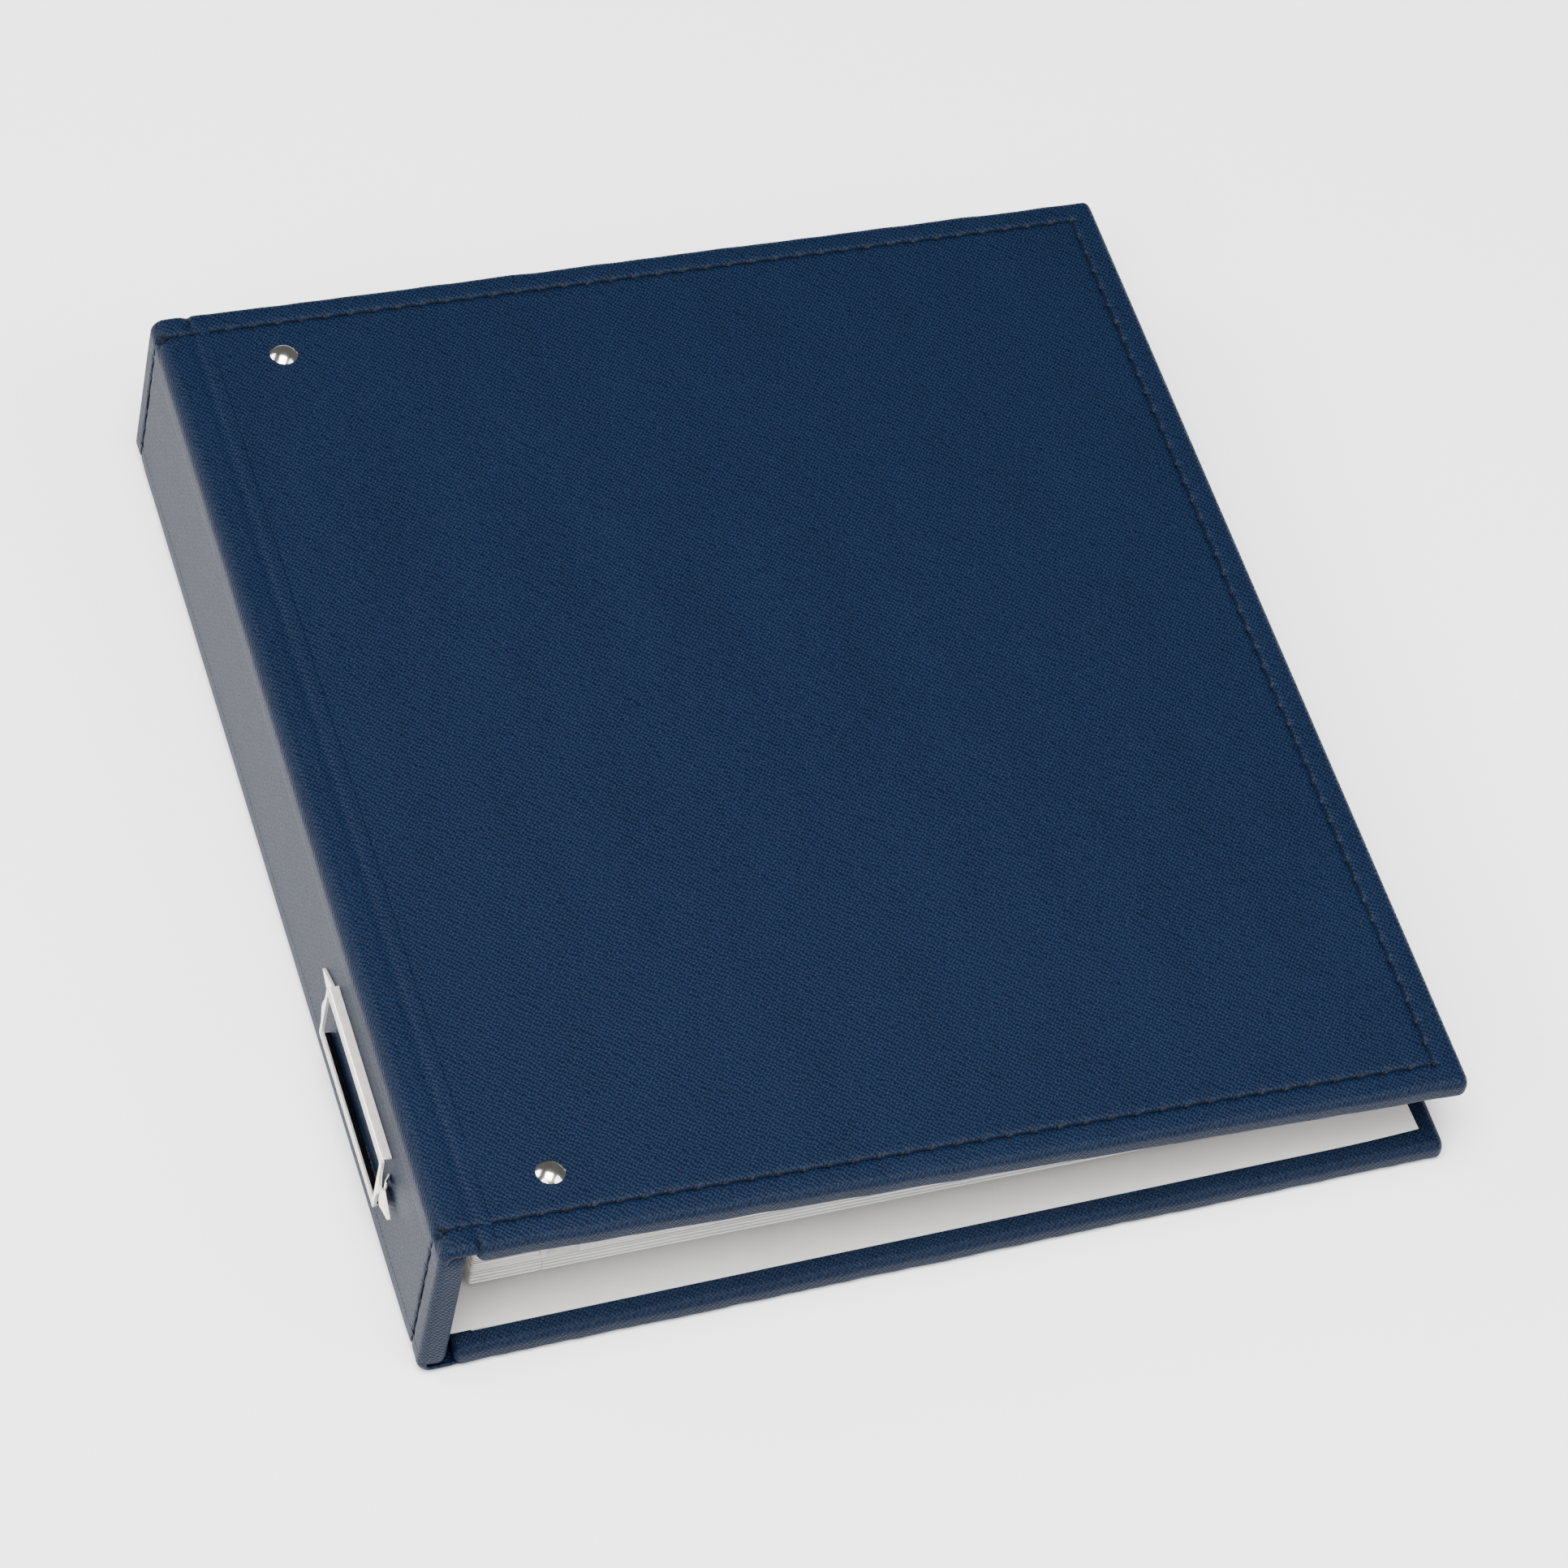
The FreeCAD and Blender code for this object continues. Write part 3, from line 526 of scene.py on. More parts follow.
def spine_wrap():
    cloth = UPPER
    holes = {True: row_holes(UPPER), False: row_holes(LOWER)}
    half = SPINE_HEIGHT / 2
    body = half - SPINE_TIP
    rim = SPINE_EDGE_RADIUS - SPINE_TIP
    lines = []
    for side, upper in ((1, True), (-1, False)):
        kept = [hole for hole in holes[upper] if hole < body]
        lines += [side * line for line in around_holes(kept, kept[0] - kept[1])]
        lines += [side * (body - rim * share) for share in RIM_SHARES]
    stations = []
    for s in merged([line for line in lines if abs(line) <= body], 0.01):
        edge = body - abs(s)
        inset = round_inset(edge / rim, 1.0) * SPINE_THICKNESS * NEARLY_HALF
        trim = round_inset(edge, SPINE_CORNER)
        place = cloth.middle + cloth.spine_along * s
        stations.append((s, place, cloth.spine_out, inset, SPINE_THICKNESS - SPINE_TURN_IN - inset,
                         trim, RIM_RADIUS))
    row = HALF - STITCH_INSET

    def relief(s, y):
        from_row = np.abs(np.abs(y) - row)
        both = holes[True] + [-hole for hole in holes[False]]
        hole = np.sqrt(from_row ** 2 + nearest(s, both) ** 2)
        clear = np.clip((half - SPINE_EDGE_RADIUS - STRIP_ON_SPINE - np.abs(s)) / 8, 0, 1)
        return (GROOVE_DEPTH * bump(from_row, GROOVE_WIDTH) + HOLE_DEPTH * bump(hole, HOLE_WIDTH)
                + waves(s, y, 71, 0.06) * clear)

    return lofted("spine_wrap", stations, LENGTH_LINES, relief)


def hinge_cloth(cloth, name, seed):
    """The strip of leatherette that bends round the spine's edge onto a cover."""
    start = cloth.arc_start - STRIP_ON_SPINE
    end = cloth.cover_start + STRIP_ON_COVER
    row = HALF - STITCH_INSET
    lines = spread(-row + 8, row - 8, 3.0)
    for side in (-1, 1):
        lines += [side * (row + offset) for offset in
                  (-6.5, -5, -4, -3, -2.2, -1.5, -1, -0.6, -0.3, 0, 0.3, 0.6, 1, 1.6, 2.3)]
    lines = sorted(lines + [HALF - RIM_RADIUS, RIM_RADIUS - HALF])
    stations = []
    for s in spread(start, end, 0.45):
        share = min((s - start) / STRIP_ON_SPINE, (end - s) / STRIP_ON_COVER, 1.0)
        thick = STRIP_EDGE + (STRIP_CLOTH - STRIP_EDGE) * share ** 2
        place, out = cloth.at(s)
        proud = STRIP_PROUD * min(share * 3, 1.0)
        stations.append((s, place, out, -proud, thick, STRIP_TRIM, RIM_RADIUS))

    def relief(s, y):
        faded = np.clip(np.minimum(s - start, end - s) / 2.0, 0, 1)
        return stitch_relief(cloth, s, y) + hinge_relief(cloth, s, y, seed) * faded

    return lofted(name, stations, lines, relief, thin=True)


def thread(cloth, name):
    """Lock stitches: each dips into its needle holes and lies in the sewn groove between them."""
    verts, faces = [], []
    steps = np.linspace(0, 1, 11)
    sink = np.abs(2 * steps - 1) ** 5
    thinned = THREAD_RADIUS * (1 - THREAD_THINNED * sink)

    def add(places, ys, outs, dips, radius):
        path = [(place[0] - out[0] * depth, y, place[1] - out[1] * depth)
                for place, y, out, depth in zip(places, ys, outs, THREAD_SUNK + THREAD_DIP * dips)]
        add_tube(verts, faces, path, radius, THREAD_SIDES, (outs[0][0], 0.05, outs[0][1]))

    holes = row_holes(cloth)
    for side in (-1, 1):
        ys = [side * (HALF - STITCH_INSET)] * len(steps)
        for a, b in zip(holes[:-1], holes[1:]):
            gap = NEEDLE_GAP * (1 if a > b else -1)
            ss = (a - gap) + (b + gap - a + gap) * steps
            ats = [cloth.at(s) for s in ss]
            add([p[0] - p[1] * d for p, d in zip(ats, pucker(cloth, ss))], ys,
                [p[1] for p in ats], sink, thinned)
        ats = [cloth.at(s) for s in holes[-1] * (1 - steps)]
        add([p[0] for p in ats], ys, [p[1] for p in ats], np.where(steps < 0.5, sink, 0),
            THREAD_RADIUS)
    place, out = cloth.at(cloth.cover_end - STITCH_INSET)
    for a, b in zip(FORE_HOLES[:-1], FORE_HOLES[1:]):
        ys = (a + NEEDLE_GAP) + (b - a - 2 * NEEDLE_GAP) * steps
        add([place] * len(ys), ys, [out] * len(ys), sink, thinned)
    return new_object(name, verts, faces)


def pucker(cloth, s):
    """How far a row's thread follows the cloth down into its puckers and crease."""
    middle = (cloth.arc_start + cloth.arc_end) / 2
    return (bump(s - middle, THREAD_PUCKER)
            + CREASE_DEPTH * bump(s - cloth.cover_start - CREASE_OFFSET, CREASE_WIDTH))


# ---- label holder on the spine
LABEL_SHEET = 0.8
LABEL_RAIL = 2.3
LABEL_LUG = 8.0
LABEL_TAB_START = 1.6
LABEL_BEND = 0.9
LABEL_LUGS = ((-1, -2.6, 1.5, LABEL_LUG), (1, 3.4, 0.1, LABEL_LUG + 1.5))  # end, rise, lift, reach
LABEL_TABS = ((-2.0, 2.6, 1.0), (2.6, 2.4, 1.4))      # place, width, height
LABEL_TAB_LENGTH = 3.0
LABEL_EDGE = 0.22


def on_spine(along, height, stand):
    """A point on the spine: along Y, up the panel from its foot, and out from its face."""
    place = LOWER.middle + UPPER.spine_along * (height - SPINE_HEIGHT / 2) + UPPER.spine_out * stand
    return (place[0], along, place[1])


def label_measure():
    """Middle, half length and half width of the holder's frame, and how far it stands out."""
    low, high = local_range("label_holder", FRONT_AXIS, LEAN)
    box_low, box_high = (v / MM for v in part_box("label_holder"))
    middle_y = (box_low.y + box_high.y) / 2
    half_length = (box_high.y - box_low.y) / 2 - LABEL_LUG
    middle_height = (low[1] + high[1]) / 2 - SPINE_LOW[1]
    return middle_y, middle_height, half_length, (high[1] - low[1]) / 2, SPINE_LOW[0] - low[0]


def label_outline(half_length, half_width):
    """The face plate's outline, with ogee ends."""
    points = []
    for side in (1, -1):
        for t in np.linspace(-1, 1, 25):
            edge = half_length - 0.2 - 1.5 * abs(t) ** 2.2 + 0.45 * math.cos(2 * math.pi * t)
            points.append((side * edge, side * t * half_width))
    return points


def round_box(half_length, half_width, corner):
    points = []
    for cx, cy, start in ((1, 1, 0), (-1, 1, 90), (-1, -1, 180), (1, -1, 270)):
        for step in range(5):
            a = math.radians(start + 22.5 * step)
            points.append((cx * (half_length - corner) + corner * math.cos(a),
                           cy * (half_width - corner) + corner * math.sin(a)))
    return points


def swept_strip(profile, thickness, ends, steps=2):
    """A bent metal strip: profile points (height, stand) with a thickness, run between two ends."""
    profile = np.asarray(profile, float)
    tangent = np.gradient(profile, axis=0)
    tangent /= np.linalg.norm(tangent, axis=1)[:, None]
    normal = np.stack([-tangent[:, 1], tangent[:, 0]], 1)
    ring = np.concatenate([profile, (profile + normal * thickness)[::-1]])
    points = [(y, h, s) for y in np.linspace(*ends, steps) for h, s in ring]
    count = len(ring)
    faces = grid_faces(steps, count, wrap=True)
    faces.append(tuple(range(count))[::-1])
    faces.append(tuple((steps - 1) * count + k for k in range(count)))
    return points, faces


def label_holder():
    """The holder's frame, walls, lugs and card tabs, with its middle and half width."""
    middle_y, middle_height, half_length, half_width, stand = label_measure()
    verts, faces = [], []

    def add(points, polygons):
        placed = [on_spine(middle_y + y, middle_height + h, s) for y, h, s in points]
        append_mesh(verts, faces, placed, polygons)

    def add_plate(loops, low, high):
        points, polygons = flat_sheet_loops(loops, 1.0)
        add([(x, y, low if z < 0 else high) for x, y, z in points], polygons)

    window = round_box(half_length - LABEL_RAIL, half_width - LABEL_RAIL, 0.7)
    add_plate([label_outline(half_length, half_width - 0.5), window], stand - LABEL_SHEET, stand)
    for side in (-1, 1):
        arc = [(side * (half_width - LABEL_BEND + LABEL_BEND * math.sin(a)),
                stand - LABEL_BEND + LABEL_BEND * math.cos(a))
               for a in np.linspace(0, math.pi / 2, 6)]
        wall = [(side * (half_width - 2.4), stand)] + arc + [(side * half_width, 0.05)]
        ends = (1.9 - half_length, half_length - 1.6)
        add(*swept_strip(wall, LABEL_SHEET * 0.9 * -side, ends, 6))
    for side, rise, lift, reach in LABEL_LUGS:
        base = side * (half_length - 0.3)
        shoulder = side * (half_length + 1.0)
        tip = side * (half_length + reach)
        blunt = tip - side * 0.7
        lug = [(base, rise - 2.6), (shoulder, rise - 3.2), (blunt, rise - 0.4), (tip, rise),
               (blunt, rise + 0.4), (shoulder, rise + 3.2), (base, rise + 2.6)]
        add_plate([lug if side > 0 else lug[::-1]], lift, lift + LABEL_SHEET)
    for place, width, height in LABEL_TABS:
        tab = [(LABEL_TAB_START - half_length - LABEL_TAB_LENGTH * k / 8,
                0.5 + height * math.sin(k / 8 * 1.9) ** 2) for k in range(9)]
        points, polygons = swept_strip(tab, 0.4, (place - width / 2, place + width / 2), 3)
        add([(along, across, out) for across, along, out in points], polygons)
    obj = new_object("label_frame", verts, faces)
    fix_normals(obj)
    bevel = obj.modifiers.new("edge", "BEVEL")
    bevel.width = LABEL_EDGE * MM
    bevel.segments = 2
    bevel.limit_method = "ANGLE"
    sharpen(obj, 50)
    return obj, (middle_y, middle_height, half_width)


def paint_inside_shade(obj, measure, inner):
    """The walls' inner sides and the underside of the plate get a near-black nickel: a painted
    reflection of the navy leather and painted shade inside the frame.
    """
    obj.data.materials.append(inner)
    middle_y, middle_height, half_width = measure
    centre = on_spine(middle_y, middle_height, 0.0)
    (up_x, up_z), (out_x, out_z) = UPPER.spine_along, UPPER.spine_out
    for polygon in obj.data.polygons:
        place, normal = polygon.center / MM, polygon.normal
        height = (place[0] - centre[0]) * up_x + (place[2] - centre[2]) * up_z
        facing = normal[0] * up_x + normal[2] * up_z
        out = normal[0] * out_x + normal[2] * out_z
        inside = abs(height) > half_width * 0.8 and facing * height < -0.5 * abs(height)
        # Faces inside the frame and under the plate take the near-black nickel of painted
        # reflection and shade.
        polygon.material_index = 1 if inside or out < -0.5 else 0


# ---- papers
CURL_LIFT = 1.1               # the endpaper's lifted corner, and how far along x and y it reaches
CURL_SPAN = (26.0, 20.0)
ENDPAPER_THICKNESS = 0.25
LINER_THICKNESS = 0.20
LINER_OFF_COVER = 0.06
LINER_OFF_SPINE = 0.15
LINER_ON_COVER = 6.0
LINER_ON_SPINE = 4.5
LINER_INSET = 5.8
PACKS = 5
PACK_SHEETS = 6
SHEET_SHARE = 0.72            # of the pitch from sheet to sheet
LEAVES = (1, 2, 3)
LEAF_BEND = 3.0               # half the width of the band a turning page bends over
PAGE_TRIM = 0.3
RING_WIRE = 1.3
HOLE_SIDES = 28


def edge_faces(rows, columns, count):
    """The narrow faces that join a sheet's two sides round its border."""
    border = [j for j in range(columns)]
    border += [i * columns + columns - 1 for i in range(1, rows)]
    border += [(rows - 1) * columns + j for j in range(columns - 2, -1, -1)]
    border += [i * columns for i in range(rows - 2, 0, -1)]
    return [(a, b, b + count, a + count) for a, b in zip(border, border[1:] + border[:1])]


def two_sided(name, upper, lower, rows, columns, flip=True):
    """A thin closed sheet from the grids of its two sides."""
    count = rows * columns
    faces = grid_faces(rows, columns, flip=flip)
    faces += grid_faces(rows, columns, count, flip=not flip)
    faces += edge_faces(rows, columns, count)
    obj = new_object(name, np.concatenate([upper, lower]), faces)
    fix_normals(obj)
    sharpen(obj)
    return obj


def endpaper():
    """The lower cover's white endpaper, with a soft lift at its outer near corner."""
    low, high = (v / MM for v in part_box("front_cover_lining"))
    xs = merged(spread(low.x, high.x, 9.0) + spread(high.x - 30, high.x, 3.0), 0.5)
    ys = merged(spread(low.y, high.y, 9.0) + spread(low.y, low.y + 40, 3.0), 0.5)
    x, y = np.meshgrid(np.asarray(xs, float), np.asarray(ys, float), indexing="ij")
    from_corner = np.hypot((high.x - x) / CURL_SPAN[0], (y - low.y) / CURL_SPAN[1])
    lift = CURL_LIFT * np.clip(1 - from_corner, 0, 1) ** 2
    top = high.z + lift + waves(x, y, 12, 0.03, shortest=30.0) * (from_corner > 0)
    upper = np.stack([x, y, top], -1).reshape(-1, 3)
    lower = upper - np.array([0, 0, ENDPAPER_THICKNESS])
    return two_sided("front_endpaper", upper, lower, *x.shape)


def hinge_liner(cloth, name):
    """Soft lining paper that crosses the gutter between the spine and a cover."""
    label = "back_cover_lining" if cloth.upper else "front_cover_lining"
    angle = SLOPE if cloth.upper else 0.0
    low, high = local_range(label, cloth.axis, angle)
    face = low[1] if cloth.upper else high[1]
    inward = -cloth.cover_out
    base = cloth.axis + turned((0.0, face), angle) + inward * LINER_OFF_COVER
    into = -cloth.spine_out
    lining = [float(np.dot((v.co.x / MM, v.co.z / MM), into))
              for v in frame["nodes"]["spine_lining"].data.vertices]
    foot = ((max(lining) + LINER_OFF_SPINE - float(np.dot(base, into)))
            / float(np.dot(cloth.along, into)))
    corner = base + cloth.along * foot
    start = low[0] + LINER_ON_COVER
    path = []
    for share in np.linspace(0, 1, 19):
        flat = base + cloth.along * (start + (foot - low[0] - LINER_ON_COVER) * min(share * 2, 1))
        up = corner - cloth.spine_along * LINER_ON_SPINE * max(share * 2 - 1, 0)
        path.append(flat if share <= 0.5 else up)
    path = np.array(path)
    for _ in range(3):
        path[1:-1] = (path[:-2] + path[1:-1] * 2 + path[2:]) / 4
    half = HALF - LINER_INSET
    ys = spread(-half, half, 12.0)
    along = np.gradient(path, axis=0)
    along /= np.linalg.norm(along, axis=1)[:, None]
    across = np.stack([-along[:, 1], along[:, 0]], 1)
    if np.dot(across[0], inward) < 0:
        across = -across
    sides = [[(x + ax * lift, y, z + az * lift)
              for (x, z), (ax, az) in zip(path, across) for y in ys]
             for lift in (LINER_THICKNESS, 0.0)]
    obj = two_sided(name, *sides, len(path), len(ys), flip=False)
    return obj, *((path[i][0] * MM, 0.0, path[i][1] * MM) for i in (4, 14))


def page_tilt():
    """Slope of the page block, from the topmost leaf's corners."""
    points = np.array([v.co for v in frame["nodes"]["page_pack_5"].data.vertices]) / MM
    left = points[np.argmin(points[:, 0] - points[:, 2])]
    right_x = points[:, 0].max()
    right_top = points[points[:, 0] > right_x - 0.5][:, 2].max()
    return math.atan2(points[:, 2].max() - right_top, right_x - left[0])


def page_measure(node):
    """Level outline and punched hole of a page node."""
    points = np.array([v.co for v in frame["nodes"][node].data.vertices]) / MM
    c, s = math.cos(PAGE_TILT), math.sin(PAGE_TILT)
    level = np.stack([points[:, 0] * c - points[:, 2] * s, points[:, 1],
                      points[:, 0] * s + points[:, 2] * c], 1)
    low, high = level.min(0), level.max(0)
    inside = (level[:, 0] > low[0] + 1) & (level[:, 0] < high[0] - 1) & (np.abs(level[:, 1]) < 6)
    hole = level[inside]
    if not len(hole):
        return low, high, None, 0.0
    left, right = hole[:, 0].min(), hole[:, 0].max()
    return low, high, (left + right) / 2, (right - left) / 2


def ring_places():
    low, high = (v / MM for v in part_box("ring_legs"))
    return (low.y + RING_WIRE, (low.y + high.y) / 2, high.y - RING_WIRE)


def flat_sheet(outline, holes, thickness, corner=1.0):
    """Mesh of one punched sheet, level and centred on its own thickness."""
    x0, x1, y0, y1 = outline
    middle = ((x0 + x1) / 2, (y0 + y1) / 2)
    loops = [[(middle[0] + x, middle[1] + y)
              for x, y in round_box((x1 - x0) / 2, (y1 - y0) / 2, corner)]]
    for cx, cy, radius in holes:
        turns = [math.tau * k / HOLE_SIDES for k in range(HOLE_SIDES)]
        loops.append([(cx + radius * math.cos(a), cy + radius * math.sin(a)) for a in turns])
    return flat_sheet_loops(loops, thickness)


def flat_sheet_loops(loops, thickness):
    """Vertices and faces of a flat plate: the first loop is its outline, the rest its openings."""
    curve = bpy.data.curves.new("sheet", "CURVE")
    curve.dimensions = "2D"
    curve.fill_mode = "BOTH"
    curve.extrude = thickness / 2
    for loop in loops:
        spline = curve.splines.new("POLY")
        spline.points.add(len(loop) - 1)
        spline.points.foreach_set("co", [c for x, y in loop for c in (x, y, 0.0, 1.0)])
        spline.use_cyclic_u = True
    holder = bpy.data.objects.new("sheet", curve)
    bpy.context.scene.collection.objects.link(holder)
    depsgraph = bpy.context.evaluated_depsgraph_get()
    mesh = bpy.data.meshes.new_from_object(holder.evaluated_get(depsgraph))
    bpy.data.objects.remove(holder)
    verts = np.array([v.co for v in mesh.vertices])
    faces = [tuple(p.vertices) for p in mesh.polygons]
    bpy.data.meshes.remove(mesh)
    return verts, faces


PAGE_TILT = page_tilt()


def flat_shaded(name, verts, faces):
    obj = new_object(name, verts, faces)
    obj.data.polygons.foreach_set("use_smooth", [False] * len(obj.data.polygons))
    return obj


def page_pack(index):
    """One pack of the page block, as separate sheets with small shifts between them."""
    node = "page_pack_%d" % index
    low, high, hole_x, hole_r = page_measure(node)
    rng = random.Random(40 + index)
    pitch = (high[2] - low[2]) / PACK_SHEETS
    verts, faces = [], []
    for i in range(PACK_SHEETS):
        dx = rng.uniform(-0.25, 0.0)
        dy = rng.uniform(-0.35, 0.35)
        outline = (low[0] + 0.1, high[0] + dx, low[1] + 0.4 + dy, high[1] - 0.4 + dy)
        holes = [(hole_x, y, hole_r) for y in ring_places()]
        points, polygons = flat_sheet(outline, holes, pitch * SHEET_SHARE)
        append_mesh(verts, faces, tilt_page(points, low[2] + pitch * (i + 0.5)), polygons)
    return flat_shaded(node + "_sheets", verts, faces)


def tilt_page(points, height=0.0):
    """Level page places, as (x, y, z) rows, laid on the page block's slope."""
    c, s = math.cos(PAGE_TILT), math.sin(PAGE_TILT)
    x, y, z = points[:, 0], points[:, 1], points[:, 2] + height
    return np.stack([x * c + z * s, y, -x * s + z * c], 1)


def leaf_measure(index):
    """A turning page's node name, its level extents and the level x of its hinge."""
    node = "leaf_%d" % index
    low, high, _, _ = page_measure(node)
    x, _, z = JOINTS[node + "_turn"]["pos_m"]
    hinge_x = x / MM * math.cos(PAGE_TILT) - z / MM * math.sin(PAGE_TILT)
    return node, low, high, hinge_x


def leaf_sleeve(index):
    """A page protector's free part, finely meshed in the band beside the punched strip, with the
    ends of that band.
    """
    node, low, high, hinge_x = leaf_measure(index)
    free = hinge_x + LEAF_BEND
    shift = random.Random(60 + index).uniform(-0.3, 0.0)
    xs = spread(hinge_x - LEAF_BEND, free, 0.5) + spread(free, high[0] + shift, 12)[1:]
    ys = spread(low[1] + PAGE_TRIM, high[1] - PAGE_TRIM, 13.0)
    gx, gy = np.meshgrid(xs, ys, indexing="ij")
    quiet = np.clip((gx - hinge_x - LEAF_BEND) / 60, 0, 1)
    ripple = waves(gx, gy, 80 + index, 0.10, shortest=60.0, longest=160.0) * quiet
    upper, lower = (tilt_page(np.stack([gx, gy, z + ripple], -1).reshape(-1, 3))
                    for z in (high[2], low[2]))
    obj = two_sided(node + "_sleeve", upper, lower, *gx.shape)
    level = (low[2] + high[2]) / 2
    ends = tilt_page(np.array([[hinge_x - LEAF_BEND * 0.9, 0, level],
                               [hinge_x + LEAF_BEND * 0.9, 0, level]]))
    return obj, [tuple(float(v) * MM for v in end) for end in ends]


def binding_strips():
    """The punched strips of the page protectors, which stay on the rings."""
    verts, faces = [], []
    strip_low = page_measure("leaf_strips")[0]
    _, _, hole_x, hole_r = page_measure("page_pack_1")
    for index in LEAVES:
        _, low, high, hinge_x = leaf_measure(index)
        outline = (strip_low[0] + 0.1 * index, hinge_x - LEAF_BEND,
                   low[1] + PAGE_TRIM, high[1] - PAGE_TRIM)
        holes = [(hole_x - 0.1, y, hole_r) for y in ring_places()]
        points, polygons = flat_sheet(outline, holes, (high[2] - low[2]), corner=0.6)
        append_mesh(verts, faces, tilt_page(points, (low[2] + high[2]) / 2), polygons)
    return flat_shaded("binding_strips", verts, faces)


# ---- materials
GRAIN_HEADING = 38.0          # degrees from the distance along the cloth, and spacing in metres
GRAIN_PITCH = 0.00086
CROSS_HEADING = -47.0
CROSS_PITCH = 0.00118
# Colour ramp from grain valley to ridge: partly the cloth's own tone, partly painted shade in the
# valleys and a painted highlight on the ridges.
NAVY_TONE_AND_RIDGE_LIGHT = ((0.22, (0.0004, 0.0022, 0.0082)), (0.50, (0.0010, 0.0046, 0.0160)),
               (0.85, (0.0042, 0.0112, 0.0290)))
THREAD_SHADES = ((0.2, (0.0008, 0.0018, 0.0055)), (0.9, (0.0018, 0.0038, 0.0110)))
# Near-black painted shade for needle holes and the other deep dents in the cloth.
NEEDLE_HOLE_SHADE = (0.0002, 0.0004, 0.0010, 1.0)


class Paint:
    """Small helper that builds one node material."""

    def __init__(self, name, colour, roughness=0.5, metallic=0.0):
        self.material = bpy.data.materials.new(name)
        self.material.use_nodes = True
        self.tree = self.material.node_tree
        self.shader = self.tree.nodes["Principled BSDF"]
        self.shader.inputs["Base Color"].default_value = (*colour, 1.0)
        self.shader.inputs["Roughness"].default_value = roughness
        self.shader.inputs["Metallic"].default_value = metallic
        self.material.diffuse_color = (*colour, 1.0)

    def node(self, kind, links=(), **values):
        node = self.tree.nodes.new(kind)
        for key, value in values.items():
            if hasattr(node, key) and key not in node.inputs:
                setattr(node, key, value)
            else:
                node.inputs[key.replace("_", " ")].default_value = value
        for name, source in dict(links).items():
            self.tree.links.new(source, node.inputs[name])
        return node

    def place(self, grain=False):
        if grain:
            return self.node("ShaderNodeAttribute", attribute_name="grain").outputs["Vector"]
        return self.node("ShaderNodeTexCoord").outputs["Object"]

    def noise(self, vector, scale, detail=3.0, roughness=0.5):
        return self.node("ShaderNodeTexNoise", {"Vector": vector}, Scale=scale, Detail=detail,
                         Roughness=roughness).outputs["Fac"]

    def mapped(self, vector, scale=(1.0, 1.0, 1.0), turn=0.0):
        return self.node("ShaderNodeMapping", {"Vector": vector}, Scale=scale,
                         Rotation=(0, 0, turn)).outputs["Vector"]

    def maths(self, operation, a, b):
        node = self.node("ShaderNodeMath", operation=operation)
        for socket, value in zip(node.inputs, (a, b)):
            if isinstance(value, (int, float)):
                socket.default_value = value
            else:
                self.tree.links.new(value, socket)
        return node.outputs[0]

    def ramp(self, factor, *stops):
        node = self.node("ShaderNodeValToRGB", {"Fac": factor})
        elements = node.color_ramp.elements
        while len(elements) < len(stops):
            elements.new(0.5)
        for element, (position, colour) in zip(elements, stops):
            element.position = position
            element.color = (*colour, 1.0) if len(colour) == 3 else colour
        return node.outputs["Color"]

    def summed(self, *terms):
        """Sum of (source, share) pairs."""
        total = None
        for source, share in terms:
            term = source if share == 1.0 else self.maths("MULTIPLY", source, share)
            total = term if total is None else self.maths("ADD", total, term)
        return total

    def spread(self, factor, low, high):
        return self.node("ShaderNodeMapRange", {"Value": factor}, To_Min=low,
                         To_Max=high).outputs["Result"]

    def bumped(self, height, strength, distance):
        node = self.node("ShaderNodeBump", {"Height": height}, Strength=strength, Distance=distance)
        self.feed("Normal", node.outputs["Normal"])

    def feed(self, socket, source):
        self.tree.links.new(source, self.shader.inputs[socket])

    def fixed(self, **values):
        for key, value in values.items():
            self.shader.inputs[key.replace("_", " ")].default_value = value


def wave(paint, vector, pitch, distortion):
    """Fine parallel ridges whose spacing is pitch, in metres."""
    return paint.node("ShaderNodeTexWave", {"Vector": vector}, wave_type="BANDS",
                      bands_direction="X", Scale=2 * math.pi / 20 / pitch, Distortion=distortion,
                      Detail=2.0, Detail_Scale=1.5).outputs["Fac"]


